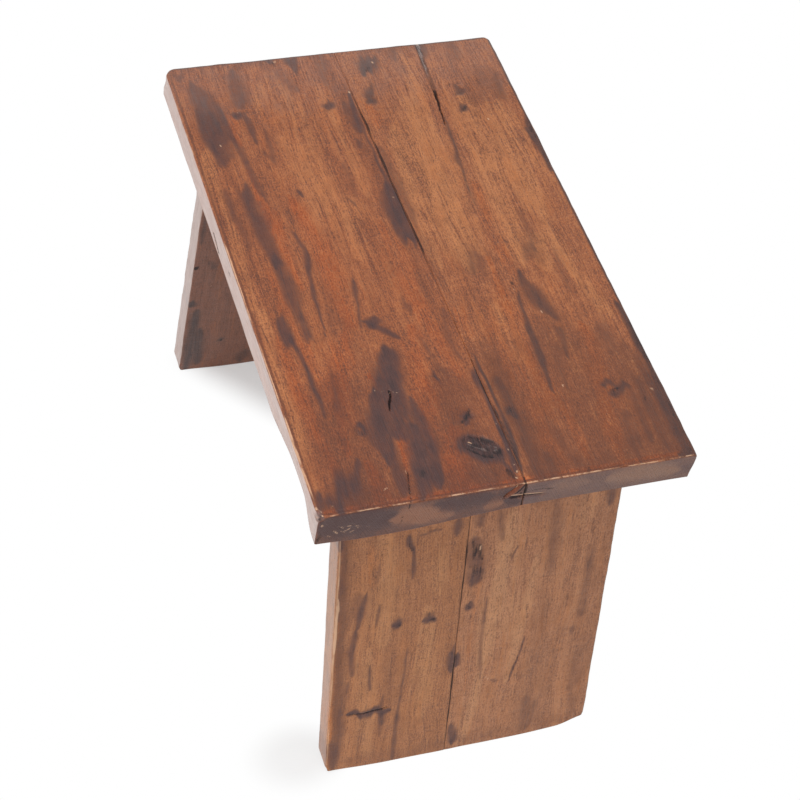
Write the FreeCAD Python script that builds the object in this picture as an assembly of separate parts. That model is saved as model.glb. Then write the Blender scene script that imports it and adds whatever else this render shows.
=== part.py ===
"""A footstool of old thick boards: a two-board top nailed down on two splayed slab legs.

The long axis is X, the width is Y and up is +Z. The floor is Z = 0, and the origin lies
under the middle of the top. The front long side faces -Y, and the right leg is the one at +X.
"""

import FreeCAD, Part
import math
import os

V = FreeCAD.Vector
ALONG = V(1, 0, 0)
ACROSS = V(0, 1, 0)
UP = V(0, 0, 1)

# Overall sizes in millimetres, and the lean of the legs in degrees
top_length = 420.0
top_width = 251.0
top_thickness = 22.0
stool_height = 310.0
leg_splay_degrees = 10.4

# Top
top_front_board_left_width = 128.5
top_front_board_right_width = 134.5
top_corner_radius = 4.0
top_upper_arris = 2.6
top_lower_arris = 2.0

# Legs: two alike, half a turn apart, but for the right leg's worn foot corner
leg_width = 200.0
leg_thickness = 20.0
leg_inset = 54.0
leg_stagger = 8.0
leg_narrow_board_width = 91.0
leg_arris = 2.4
foot_worn_corner_radius = 16.0
foot_sound_corner_radius = 6.0
foot_arris = 0.8

# Stopped housings in the underside, which take the upper ends of the legs
housing_depth = 6.0
housing_shoulder = 10.0

# Dowels in the glued edge joints
dowel_radius = 4.0
dowel_length = 40.0
dowel_chamfer = 0.8
dowel_hole_spare = 1.0
top_dowel_count = 4
top_dowel_end_distance = 92.0
leg_dowel_count = 3
leg_dowel_foot_height = 50.0
leg_dowel_head_distance = 68.0

# Square tapered nails driven down through the top, punched under and filled
nail_length = 60.0
nail_shank_width = 3.4
nail_point_width = 1.2
nail_head_width = 6.4
nail_head_thickness = 1.4
nail_set_depth = 2.2
right_nail_end_distance = 60.0
left_nail_end_distance = 58.0
right_nail_width_shares = (0.181, 0.458, 0.577, 0.862)
left_nail_width_shares = (0.163, 0.433, 0.562, 0.836)

# Drying checks: each line is written in shares of the top's length and width, from its middle,
# and each width along it as a share of the check's mouth
back_check_line_shares = ((-0.505, 0.272), (-0.440, 0.261), (-0.365, 0.257), (-0.310, 0.249),
                          (-0.200, 0.232))
back_check_width_shares = (0.5, 0.6, 1.0, 0.7, 0.0)
back_check_mouth = 2.4
back_check_depth = 9.0
end_check_line_shares = ((0.505, -0.263), (0.470, -0.254), (0.430, -0.242))
end_check_width_shares = (1.0, 0.6, 0.0)
end_check_mouth = 1.2
slit_line_shares = ((0.283, -0.212), (0.305, -0.221), (0.327, -0.229))
slit_width_shares = (0.0, 1.0, 0.0)
slit_mouth = 2.6
slit_depth = 4.0

# Dead knot, shrunk under the surface, with its middle in shares of the top's length and width
knot_middle_shares = (0.418, -0.036)
knot_half_length = 12.6
knot_half_width = 7.4
knot_turn_degrees = 50.0
knot_shrinkage = 1.0

# Splinter lost from the end beside the joint, across the front board and down its end
chip_width_share = 0.085
chip_top_share = 0.09
chip_low_share = 0.55
chip_depth = 3.0

# Fits
sliding_clearance = 0.05
cut_overrun = 5.0

# Places worked out from those sizes
underside = stool_height - top_thickness
half_length = top_length / 2
half_width = top_width / 2
joint_left = top_front_board_left_width - half_width
joint_right = top_front_board_right_width - half_width
splay_slope = math.tan(math.radians(leg_splay_degrees))
leg_level_thickness = leg_thickness / math.cos(math.radians(leg_splay_degrees))
leg_foot_outer = half_length - leg_inset + splay_slope * underside
leg_front = leg_stagger - leg_width / 2
leg_back = leg_stagger + leg_width / 2
leg_joint_line = leg_front + leg_narrow_board_width
nail_head_top = stool_height - nail_set_depth


def block(low, high):
    """Straight-sided block between two corners."""
    return Part.makeBox(high.x - low.x, high.y - low.y, high.z - low.z, low)


def prism(points, travel):
    """Flat outline through the points, swept by the travel."""
    return Part.Face(Part.makePolygon(points + points[:1])).extrude(travel)


def spaced(count, first, last):
    """Evenly spaced places, both ends included."""
    return [first + (last - first) * i / (count - 1) for i in range(count)]


def rounded_outline(place, low_u, high_u, low_v, high_v, radii):
    """Rectangle with its four corners rounded: low-low, high-low, high-high, low-high."""
    corners = ((low_u, low_v, 1, 1), (high_u, low_v, -1, 1),
               (high_u, high_v, -1, -1), (low_u, high_v, 1, -1))
    ends = []
    for (u, v, to_u, to_v), radius in zip(corners, radii):
        side = (u, v + to_v * radius)
        foot = (u + to_u * radius, v)
        middle = (u + to_u * radius * (1 - math.sqrt(0.5)), v + to_v * radius * (1 - math.sqrt(0.5)))
        turning_in = to_u * to_v > 0
        ends.append((side, middle, foot) if turning_in else (foot, middle, side))
    edges = []
    for i, (start, middle, finish) in enumerate(ends):
        edges.append(Part.Arc(place(*start), place(*middle), place(*finish)).toShape())
        edges.append(Part.makeLine(place(*finish), place(*ends[(i + 1) % len(ends)][0])))
    return Part.Face(Part.Wire(edges))


def drying_check(line_shares, width_shares, mouth, depth):
    """Tapered slit along a line on the top, as deep as given."""
    points = [V(u * top_length, v * top_width, stool_height - depth) for u, v in line_shares]
    one_side = []
    other_side = []
    for i, (point, share) in enumerate(zip(points, width_shares)):
        before = points[max(i - 1, 0)]
        after = points[min(i + 1, len(points) - 1)]
        sideways = (after - before).cross(UP).normalize() * (mouth * share / 2)
        one_side.append(point + sideways)
        if share > 0:
            other_side.append(point - sideways)
    return prism(one_side + other_side[::-1], UP * (depth + cut_overrun))


def knot_hollow():
    """Shallow oval recess over the dead knot."""
    oval = Part.Ellipse(V(0, 0, 0), knot_half_length, knot_half_width).toShape()
    recess = Part.Face(Part.Wire([oval])).extrude(UP * (knot_shrinkage + cut_overrun))
    recess.rotate(V(0, 0, 0), UP, knot_turn_degrees)
    along, across = knot_middle_shares
    recess.translate(V(along * top_length, across * top_width, stool_height - knot_shrinkage))
    return recess


def lost_splinter():
    """Three-cornered chip in the end of the front board, beside the joint."""
    face = half_length - chip_depth
    top = stool_height - chip_top_share * top_thickness
    low = stool_height - chip_low_share * top_thickness
    outer = joint_right - chip_width_share * top_front_board_right_width
    points = [V(face, outer, low), V(face, joint_right + cut_overrun, low),
              V(face, joint_right + cut_overrun, top), V(face, joint_right, top)]
    return prism(points, ALONG * (chip_depth + cut_overrun))


def top_blank():
    """Both boards of the top in one, with worn corners and arrises."""
    blank = block(V(-half_length, -half_width, underside), V(half_length, half_width, stool_height))
    upright = [e for e in blank.Edges if e.BoundBox.ZLength > top_thickness / 2]
    blank = blank.makeFillet(top_corner_radius, upright)
    upper = [e for e in blank.Edges if e.BoundBox.ZMin > stool_height - top_thickness / 4]
    blank = blank.makeFillet(top_upper_arris, upper)
    lower = [e for e in blank.Edges if e.BoundBox.ZMax < underside + top_thickness / 4]
    return blank.makeFillet(top_lower_arris, lower)


def joint_at(x):
    """Where the top's joint lies at x: its boards taper, so it runs a little aslant."""
    return joint_left + (joint_right - joint_left) * (x + half_length) / top_length


def front_of(left_line, right_line):
    """Everything in front of a joint that runs from the left end to the right end."""
    points = [V(-half_length, -top_width, -top_thickness), V(half_length, -top_width, -top_thickness),
              V(half_length, right_line, -top_thickness), V(-half_length, left_line, -top_thickness)]
    return prism(points, UP * (stool_height + 2 * top_thickness))


def leg_blank(back_foot_radius):
    """Both boards of the right leg in one: a leaning slab with a stub on its upper end."""
    rise = underside + housing_depth
    inner = leg_foot_outer - leg_level_thickness
    lean = V(-splay_slope * rise, 0, rise)
    section = rounded_outline(lambda u, v: V(u, v, 0), leg_foot_outer - leg_thickness,
                              leg_foot_outer, leg_front, leg_back, (leg_arris,) * 4)
    slab = section.extrude(UP * (lean.Length + 2 * cut_overrun))
    slab.translate(UP * -cut_overrun)
    slab.rotate(V(leg_foot_outer, 0, 0), ACROSS, -leg_splay_degrees)
    x_start = inner + lean.x - cut_overrun
    sweep = ALONG * (leg_foot_outer + cut_overrun - x_start)
    outline = rounded_outline(lambda u, v: V(x_start, u, v), leg_front, leg_back, 0, underside,
                              (foot_sound_corner_radius, back_foot_radius) + (cut_overrun,) * 2)
    square_head = block(V(x_start, leg_front, underside - 2 * cut_overrun),
                        V(x_start + sweep.x, leg_back, underside))
    stub = block(V(x_start, leg_front + housing_shoulder, underside - cut_overrun),
                 V(x_start + sweep.x, leg_back - housing_shoulder, rise))
    envelope = outline.extrude(sweep).fuse([square_head, stub]).removeSplitter()
    shin = V(-splay_slope * foot_arris, 0, foot_arris)
    toe = V(leg_foot_outer, leg_front, 0)
    heel = V(inner, leg_front, 0)
    eased_foot = prism([toe - ALONG * foot_arris, toe + shin, toe + lean, heel + lean, heel + shin,
                        heel + ALONG * foot_arris], ACROSS * leg_width)
    return slab.common(envelope).common(eased_foot).removeSplitter()


def leg_middle(height):
    """Middle of the right leg's thickness at a height."""
    return leg_foot_outer - splay_slope * height - leg_level_thickness / 2


def dowel(x, line, height, radius, length, chamfer):
    """Round peg lying across a joint line, with eased ends."""
    start = V(x, line - length / 2, height)
    peg = Part.makeCylinder(radius, length, start, ACROSS)
    if chamfer:
        rims = [e for e in peg.Edges if isinstance(e.Curve, Part.Circle)]
        peg = peg.makeChamfer(chamfer, rims)
    return peg


def dowels_and_holes(places):
    """Pegs at (x, joint line, height), and the holes that take them."""
    pegs = [dowel(x, line, z, dowel_radius, dowel_length, dowel_chamfer) for x, line, z in places]
    hole_radius = dowel_radius + sliding_clearance
    hole_length = dowel_length + 2 * dowel_hole_spare
    holes = [dowel(x, line, z, hole_radius, hole_length, 0) for x, line, z in places]
    return pegs, holes


def square_taper(x, y, low, low_width, high, high_width):
    """Square bar standing on its point, wider at one height than at the other."""
    ends = []
    for height, width in ((low, low_width), (high, high_width)):
        corners = ((-1, -1), (1, -1), (1, 1), (-1, 1))
        ring = [V(x + a * width / 2, y + b * width / 2, height) for a, b in corners]
        ends.append(Part.makePolygon(ring + ring[:1]))
    return Part.makeLoft(ends, True, True)


def nail_set(x, width_shares):
    """Row of nails at x: the nails, their fillings, the holes in the top and in the leg."""
    nails, fillings, holes = [], [], []
    shank_top = nail_head_top - nail_head_thickness
    tip = nail_head_top - nail_length
    looser = 2 * sliding_clearance
    pocket_top = stool_height + cut_overrun
    for share in width_shares:
        y = share * top_width - half_width
        shank = square_taper(x, y, tip, nail_point_width, shank_top, nail_shank_width)
        head = square_taper(x, y, shank_top, nail_head_width, nail_head_top, nail_head_width)
        nails.append(shank.fuse(head))
        fillings.append(square_taper(x, y, nail_head_top, nail_head_width,
                                     stool_height, nail_head_width))
        holes.append(square_taper(x, y, tip - sliding_clearance, nail_point_width + looser,
                                  shank_top, nail_shank_width + looser))
        holes.append(square_taper(x, y, shank_top, nail_head_width + looser,
                                  pocket_top, nail_head_width + looser))
    return nails, fillings, holes


def turned(shapes):
    """The same shapes at the other end: half a turn about the stool's middle."""
    copies = [shape.copy() for shape in shapes]
    for shape in copies:
        shape.rotate(V(0, 0, 0), UP, 180)
    return copies


def save(name, shapes):
    """Write one node from its separate solids."""
    solids = [solid for shape in shapes for solid in shape.Solids]
    shape = solids[0] if len(solids) == 1 else Part.makeCompound(solids)
    shape.exportStep("parts/" + name + ".step")
    volume = sum(solid.Volume for solid in solids)
    print(name, len(solids), "solids", round(volume), "mm3", "valid" if shape.isValid() else "BROKEN")


# Nails
right_nails, right_fillings, right_nail_holes = nail_set(half_length - right_nail_end_distance,
                                                         right_nail_width_shares)
left_nails, left_fillings, left_nail_holes = nail_set(left_nail_end_distance - half_length,
                                                      left_nail_width_shares)

# Dowels
top_dowel_places = [(x, joint_at(x), stool_height - top_thickness / 2)
                    for x in spaced(top_dowel_count, top_dowel_end_distance - half_length,
                                    half_length - top_dowel_end_distance)]
top_dowels, top_dowel_holes = dowels_and_holes(top_dowel_places)
leg_dowel_places = [(leg_middle(z), leg_joint_line, z)
                    for z in spaced(leg_dowel_count, leg_dowel_foot_height,
                                    underside - leg_dowel_head_distance)]
leg_dowels, leg_dowel_holes = dowels_and_holes(leg_dowel_places)

# Legs
worn_leg = leg_blank(foot_worn_corner_radius)
sound_leg = leg_blank(foot_sound_corner_radius)
right_leg = worn_leg.cut(leg_dowel_holes + right_nail_holes)
left_leg = turned([sound_leg.cut(leg_dowel_holes)])[0].cut(left_nail_holes)
right_front_side = front_of(leg_joint_line, leg_joint_line)
left_front_side = front_of(-leg_joint_line, -leg_joint_line)

# Top, housed for the legs, bored for dowels and nails, with its checks, knot and lost splinter
top = top_blank().cut([worn_leg] + turned([sound_leg]) + top_dowel_holes + right_nail_holes
                      + left_nail_holes)
back_check = drying_check(back_check_line_shares, back_check_width_shares, back_check_mouth,
                          back_check_depth)
end_check = drying_check(end_check_line_shares, end_check_width_shares, end_check_mouth,
                         top_thickness + cut_overrun)
slit = drying_check(slit_line_shares, slit_width_shares, slit_mouth, slit_depth)
front_side = front_of(joint_left, joint_right)
top_front_board = top.common(front_side).cut([end_check, slit, knot_hollow(), lost_splinter()])
top_back_board = top.cut([front_side, back_check])

os.makedirs("parts", exist_ok=True)
save("top_front_board", [top_front_board])
save("top_back_board", [top_back_board])
save("top_joint_dowels", top_dowels)
save("right_leg_front_board", [right_leg.common(right_front_side)])
save("right_leg_back_board", [right_leg.cut(right_front_side)])
save("right_leg_joint_dowels", leg_dowels)
save("left_leg_front_board", [left_leg.common(left_front_side)])
save("left_leg_back_board", [left_leg.cut(left_front_side)])
save("left_leg_joint_dowels", turned(leg_dowels))
save("right_leg_nails", right_nails)
save("left_leg_nails", left_nails)
save("right_nail_fillings", right_fillings)
save("left_nail_fillings", left_fillings)
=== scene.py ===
import math

import bpy
import numpy as np
from mathutils import Matrix, Vector


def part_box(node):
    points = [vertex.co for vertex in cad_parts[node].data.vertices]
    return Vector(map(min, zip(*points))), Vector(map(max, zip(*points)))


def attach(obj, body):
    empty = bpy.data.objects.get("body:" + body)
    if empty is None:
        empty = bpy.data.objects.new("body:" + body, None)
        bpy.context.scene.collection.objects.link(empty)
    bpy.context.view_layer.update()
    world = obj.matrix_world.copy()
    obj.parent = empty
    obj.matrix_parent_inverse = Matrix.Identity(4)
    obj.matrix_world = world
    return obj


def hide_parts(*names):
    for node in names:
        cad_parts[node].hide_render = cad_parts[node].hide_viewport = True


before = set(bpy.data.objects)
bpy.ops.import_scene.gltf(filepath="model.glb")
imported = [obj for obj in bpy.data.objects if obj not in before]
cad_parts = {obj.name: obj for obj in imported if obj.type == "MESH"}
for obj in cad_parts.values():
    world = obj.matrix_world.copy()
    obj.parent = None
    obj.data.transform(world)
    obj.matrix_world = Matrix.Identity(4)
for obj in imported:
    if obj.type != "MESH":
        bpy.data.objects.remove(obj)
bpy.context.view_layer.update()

# The top's front board
# The wider of two old hardwood boards, planed by hand, stained and waxed. Dark heartwood runs
# through it, with a dead knot, a slit, an end check and a splinter lost at the joint.
MM = 0.001


def corner(node, which):
    """Lowest (0) or highest (1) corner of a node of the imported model, in millimetres."""
    return np.array(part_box(node)[which]) / MM


def smooth_step(low, high, value):
    """0 at low, 1 at high, and a soft slope between them."""
    share = np.clip((value - low) / (high - low), 0, 1)
    return share * share * (3 - 2 * share)


def stripe(value, middle, edge, core):
    """1 along a thin line where value is near middle, fading from core to edge on both sides."""
    return smooth_step(edge, core, np.abs(value - middle))


def ripple(points, size, seed):
    """Smooth random swell from -1 to 1 over lumps of that size, one size for each axis."""
    for_axes, for_seed, for_mixing = np.array([374761393, 668265263, 2147483647]), 974711, 1274126177
    kept_bits, value_bits, seed_shift = 0x7FFFFFFF, 0xFFFF, 7.31
    cell = points / np.array(size, float) + seed * seed_shift
    low = np.floor(cell).astype(np.int64)
    share = cell - low
    share = share * share * (3 - 2 * share)
    total = np.zeros(len(points))
    for corner_step in np.ndindex(*[2] * points.shape[1]):
        # Each corner of a lump has one fixed value, mixed from its whole numbers and the seed
        spot = (low + corner_step) @ for_axes[:points.shape[1]]
        mixed = (spot + seed * for_seed) & kept_bits
        mixed = ((mixed ^ (mixed >> 13)) * for_mixing) & kept_bits
        value = ((mixed ^ (mixed >> 16)) & value_bits) / value_bits
        total += np.prod(np.where(corner_step, share, 1 - share), axis=1) * value
    return total * 2 - 1


def beside(points, line):
    """Distance of each point from a bent line, and how far along the line it lies, 0 to 1."""
    line = np.array(line, float)
    lengths = np.linalg.norm(np.diff(line, axis=0), axis=1)
    starts = np.concatenate([[0], np.cumsum(lengths)])
    best = np.full(len(points), np.inf)
    share = np.zeros(len(points))
    for i, length in enumerate(lengths):
        way = (line[i + 1] - line[i]) / length
        run = np.clip((points - line[i]) @ way, 0, length)
        distance = np.linalg.norm(points - line[i] - run[:, None] * way, axis=1)
        nearer = distance < best
        best = np.where(nearer, distance, best)
        share = np.where(nearer, (starts[i] + run) / starts[-1], share)
    return best, share


def brushed(points, strokes, seed, stray=(7.0, 2.0)):
    """Strokes (line, half width, strength) over the wood, fading outwards and feathered by the grain."""
    lumps, long_lumps, short_lumps = (34, 5), (60, 2.6), (13, 3.2)
    core, fringe = 0.1, 1.6
    along = stray[0] * (ripple(points, lumps, seed) + 0.5 * ripple(points, long_lumps, seed + 3))
    across = stray[1] * (ripple(points, lumps, seed + 1) + 0.7 * ripple(points, short_lumps, seed + 2))
    moved = points + np.stack([along, across], 1)
    clear = np.ones(len(points))
    for line, half_width, strength in strokes:
        distance, share = beside(moved, line)
        reach = half_width * (0.3 + 0.7 * np.sqrt(np.clip(4 * share * (1 - share), 0, 1)))
        clear *= 1 - strength * smooth_step(fringe, core, distance / reach)
    return 1 - clear


def lay(marks, mark, strength):
    """Paint a mark on the wood. Where it is there already, the stronger of the two stays."""
    marks[mark] = np.maximum(marks[mark], strength)


def set_down(name, data):
    """A new object in the scene, made of a mesh, a lamp or a camera."""
    thing = bpy.data.objects.new(name, data)
    bpy.context.scene.collection.objects.link(thing)
    return thing


# The axes of a board while it lies square, and its six sides: an axis, and 1 for the high side
X, Y, Z = range(3)
LEFT, RIGHT, FRONT, BACK, UNDER, UPPER = (X, 0), (X, 1), (Y, 0), (Y, 1), (Z, 0), (Z, 1)


class Plank:
    """A board as the closed skin of a block, worked in millimetres while it still lies square."""

    def __init__(self, lows, highs, step, close_work):
        self.lows = np.array(lows, float)
        self.highs = np.array(highs, float)
        lines = [self.ruled(axis, step[axis], close_work[axis]) for axis in range(3)]
        shape = [len(line) for line in lines]
        skin = np.ones(shape, bool)
        skin[1:-1, 1:-1, 1:-1] = False
        number = np.cumsum(skin).reshape(shape) - 1
        spots = np.argwhere(skin)
        self.block = np.stack([lines[axis][spots[:, axis]] for axis in range(3)], 1)
        self.points = self.block.copy()
        self.faces = []
        for axis in range(3):
            for end in (0, -1):
                side = number.take(end, axis)
                ring = [side[:-1, :-1], side[1:, :-1], side[1:, 1:], side[:-1, 1:]]
                if (end == -1) == (axis == 1):
                    ring.reverse()
                self.faces.append(np.stack(ring, -1).reshape(-1, 4))

    def ruled(self, axis, step, close_work):
        """Lines across one axis, closer together at the edges and at each (place, reach, step)."""
        low, high = self.lows[axis], self.highs[axis]
        close_work = [(low, 3, 0.6), (high, 4, 0.6)] + close_work
        widening = 0.4
        places = [low]
        while places[-1] < high:
            gaps = [fine + widening * max(abs(places[-1] - place) - reach, 0)
                    for place, reach, fine in close_work]
            places.append(places[-1] + min([step] + gaps))
        places = np.array(places)
        places = low + (places - low) * (high - low) / (places[-1] - low)
        places[-1] = high
        return places

    def on(self, side):
        """True for the points of one side, such as UPPER."""
        axis, high = side
        return self.block[:, axis] == (self.highs if high else self.lows)[axis]

    def arris_distance(self):
        """Distance from each point to the nearest edge of the block, along its own side."""
        gaps = np.concatenate([self.block - self.lows, self.highs - self.block], 1)
        return np.sort(gaps, 1)[:, 1]

    def ease(self, along, radius):
        """Round the four edges along one axis, by a radius that may vary point by point."""
        others = [axis for axis in (X, Y, Z) if axis != along]
        out = [self.points[:, k] - np.clip(self.points[:, k], self.lows[k] + radius, self.highs[k] - radius)
               for k in others]
        reach = np.maximum(np.hypot(*out), 1e-9)
        kept = np.maximum(*np.abs(out)) / reach
        for k, distance in zip(others, out):
            self.points[:, k] -= distance * (1 - np.where(np.hypot(*out) > 0, kept, 1))

    def sink(self, side, depth):
        """Press one side inwards by a depth that may vary point by point."""
        axis, high = side
        self.points[:, axis] -= np.where(self.on(side), depth, 0) * (1 if high else -1)

    def made(self, name, wood, marks, grain):
        """The finished object, with its painted marks and each point's place in the grain."""
        mesh = bpy.data.meshes.new(name)
        mesh.materials.append(wood)
        mesh.from_pydata((self.points * MM).tolist(), [], np.concatenate(self.faces).tolist())
        for mark, values in marks.items():
            mesh.attributes.new(mark, "FLOAT", "POINT").data.foreach_set("value", values)
        spread = mesh.attributes.new("board_place", "FLOAT_VECTOR", "POINT")
        spread.data.foreach_set("vector", grain.ravel())
        mesh.shade_smooth()
        return set_down(name, mesh)


class Strand:
    """One output of a node of a material. Sums and products of strands add the nodes they need."""

    def __init__(self, tree, socket=None):
        self.tree = tree
        self.socket = socket

    def node(self, kind, settings, sockets, output=0):
        """Add a node, set it up, feed its sockets and give one of its outputs."""
        made = self.tree.nodes.new(kind if kind.startswith(("Geometry", "Function")) else "ShaderNode" + kind)
        for name, value in settings.items():
            setattr(made, name, value)
        for name, value in sockets.items():
            if isinstance(value, Strand):
                self.tree.links.new(value.socket, made.inputs[name])
            else:
                made.inputs[name].default_value = value
        return Strand(self.tree, made.outputs[output] if made.outputs else None)

    def worked_out(self, operation, first, second):
        """A Math node between two numbers, or a Vector Math node between two places."""
        kind = "Math" if self.socket.type == "VALUE" else "VectorMath"
        return self.node(kind, {"operation": operation}, {0: first, 1: second})

    def __add__(self, other):
        return self.worked_out("ADD", self, other)

    __radd__ = __add__

    def __sub__(self, other):
        return self.worked_out("SUBTRACT", self, other)

    def __rsub__(self, other):
        return self.worked_out("SUBTRACT", other, self)

    def __mul__(self, other):
        return self.worked_out("MULTIPLY", self, other)

    __rmul__ = __mul__

    def __truediv__(self, other):
        return self.worked_out("DIVIDE", self, other)

    def step(self, low, high):
        """0 at low, 1 at high, and a soft slope between them."""
        return self.node("MapRange", {"interpolation_type": "SMOOTHSTEP"},
                         {"Value": self, "From Min": low, "From Max": high})

    def held(self, low=0.0, high=1.0):
        """0 below low, 1 above high, and straight between them."""
        return self.node("MapRange", {}, {"Value": self, "From Min": low, "From Max": high})

    def swell(self, size, detail=2.0):
        """Random swell over this place, about -1 to 1, in lumps of that size on each axis."""
        lumps = self.node("TexNoise", {}, {"Vector": self / size, "Scale": 1.0, "Detail": detail,
                                           "Roughness": 0.6})
        return (lumps - 0.5) * 6.0


def emptied(owner):
    """The first strand in the emptied node tree of a new material or world."""
    owner.use_nodes = True
    owner.node_tree.nodes.clear()
    return Strand(owner.node_tree)


def shade(red, green, blue):
    """A colour as it is seen, 0 to 255, as the renderer's own numbers."""
    seen = np.array([red, green, blue]) / 255
    linear = np.where(seen < 0.04045, seen / 12.92, ((seen + 0.055) / 1.055) ** 2.4)
    return (*linear.tolist(), 1.0)


def laid(strand, under, colour, share):
    """A colour laid over another by a share; both may be plain colours or strands."""
    return strand.node("Mix", {"data_type": "RGBA"}, {0: share, 6: under, 7: colour}, 2)


def waxed_wood(name, plain, tan, orange, deep, dark, end_colour, end_light, pith, ring_gap,
               gloss=0.40, grain=1.0):
    """Old stained hardwood under wax: rings about a far pith, fibres, pores, stains and wear."""
    heart_of_stain, open_pore, black_soot = shade(46, 28, 30), shade(40, 24, 20), shade(30, 22, 24)
    pale_grey_and_sheen, pale_wear_and_highlight, pale_speck = shade(226, 206, 199), shade(222, 178, 144), shade(226, 206, 186)
    material = bpy.data.materials.new(name)
    start = emptied(material)
    place = start.node("Attribute", {"attribute_name": "board_place"}, {}, "Vector")
    stain, tanned, warm, soot, wear, end, grey, darker_tone_and_shade = [
        start.node("Attribute", {"attribute_name": mark}, {}, "Fac")
        for mark in ("stain", "tan", "orange", "soot", "wear", "end_grain", "grey", "shade")]

    # The wood's own figure, in lumps of so many millimetres along, across and through the board
    wander = place.node("TexNoise", {}, {"Vector": place / (170, 40, 40), "Scale": 1.0, "Detail": 2.0},
                        "Color")
    bent = place + (wander - (0.5, 0.5, 0.5)) * (0, 22, 14)
    from_pith = start.node("VectorMath", {"operation": "LENGTH"},
                           {0: (bent - (0, *pith)) * (0.006, 1, 1)}, "Value")
    rings = start.node("TexNoise", {"noise_dimensions": "1D"},
                       {"W": from_pith / ring_gap, "Scale": 1.0, "Detail": 3.0, "Roughness": 0.62})
    rings = (rings - 0.5) * 5.0
    bands = bent.swell((130, 7, 9), 2.0)
    fibres = bent.swell((70, 2.0, 2.0), 3.0)
    hairs = bent.swell((18, 0.8, 0.8), 2.0)
    grains = place.swell((1.5, 0.9, 0.9), 2.0)
    pores = bent.swell((5.5, 0.7, 0.7), 1.0).step(0.7, 1.3)
    mottle = place.swell((30, 13, 13), 4.0)
    smoke = place.swell((15, 6, 6), 3.0)
    curl = place.swell((4, 11, 11), 2.0)
    tone = (rings * 0.30 + bands * 0.20 + fibres * 0.44 + hairs * 0.58 + grains * 0.95 + mottle * 0.20
            + curl * 0.18)
    tone = tone * grain

    # Its colours: plain, then tanned, orange and deep where they are painted, and the figure's tone
    tan_share = (tanned + mottle * 0.12 + bands * 0.16 + fibres * 0.26).held(0.1, 1.2)
    colour = laid(start, plain, tan, tan_share)
    orange_share = (warm + fibres * 0.34 + bands * 0.16 + mottle * 0.24 - stain * 0.3).held(0.1, 1.1)
    colour = laid(start, colour, orange, orange_share)
    # Deep where the shade mark is painted: a darker tone of the wood, and painted shade on the legs' heads
    # just under the top
    colour = laid(start, colour, deep, (darker_tone_and_shade + smoke * 0.10 + fibres * 0.12).held(0, 1.1) * 0.85)
    colour = laid(start, colour, deep, (0.12 - tone * 0.55).held() * 0.9)
    colour = laid(start, colour, tan, (tone * 0.42 - darker_tone_and_shade * 0.3 - 0.04).held() * 0.85)

    # The stains, ragged at their rims and darkest at heart, and the pores
    ragged = (stain + fibres * 0.12 + bands * 0.06 + mottle * 0.08 + smoke * 0.10 + hairs * 0.12
              + grains * 0.14)
    colour = laid(start, colour, deep, ragged.held(0.03, 0.72) * 0.70)
    colour = laid(start, colour, dark, ragged.held(0.23, 1.02) * 0.86)
    darkest = (ragged + smoke * 0.22 - grains * 0.12).held(0.70, 1.7) * 0.8
    colour = laid(start, colour, heart_of_stain, darkest)
    colour = laid(start, colour, open_pore, pores * 0.32)

    # The end grain, with the marks of the saw
    across, height_up = [start.node("SeparateXYZ", {}, {0: place}, side) for side in ("Y", "Z")]
    saw_way = start.node("CombineXYZ", {}, {0: across + height_up * 0.55})
    saw_marks = saw_way.swell((1.1, 1.0, 1.0), 2.0)
    end_tone = (0.28 + tanned * 0.9 - stain * 0.5 + saw_marks * 0.12 + grains * 0.14 + smoke * 0.12).held()
    colour = laid(start, colour, laid(start, end_colour, end_light, end_tone), end * 0.94)

    # What lies over it all: pale grey putty and wood, a painted pale sheen, soot, rubbed arrises with a
    # painted highlight in places, and pale specks
    # The grey mark is putty and pale wood, and on the long sides and the left end of the top a painted sheen
    grey_and_sheen_share = (grey + (hairs * 0.14 + smoke * 0.12) * grey).held(0.1, 1.0) * 0.8
    colour = laid(start, colour, pale_grey_and_sheen, grey_and_sheen_share)
    sooty = (soot + hairs * 0.16 + grains * 0.10 + smoke * 0.08).step(0.3, 0.9)
    colour = laid(start, colour, black_soot, sooty * 0.9)
    # Pale wood where wear is painted; along the near end's arris and the front long arris it is also a
    # painted highlight
    rubbed = (wear * (1.0 + fibres * 0.30 + smoke * 0.30)).step(0.25, 0.85)
    colour = laid(start, colour, pale_wear_and_highlight, rubbed * 0.75)
    specks = (place.swell((1.6, 1.3, 1.3), 1.0) + stain * 0.2).step(2.2, 2.5)
    colour = laid(start, colour, pale_speck, specks * 0.6)

    # The worn wax
    rough = gloss + mottle * 0.05 + sooty * 0.3 + end * 0.14 + pores * 0.1 + smoke * 0.03
    height = (fibres * 0.30 + hairs * 0.16 + grains * 0.22 - pores * 0.06 + curl * 0.2 + bands * 0.3
              + end * saw_marks * 0.5)
    bump = start.node("Bump", {}, {"Strength": 0.6, "Distance": 0.0005, "Height": height})
    wood = start.node("BsdfPrincipled", {}, {
        "Base Color": colour, "Roughness": rough, "Normal": bump, "IOR": 1.45, "Specular IOR Level": 0.40,
        "Coat Weight": 0.10, "Coat Roughness": 0.34, "Coat IOR": 1.45})
    start.node("OutputMaterial", {}, {"Surface": wood})
    return material


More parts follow.
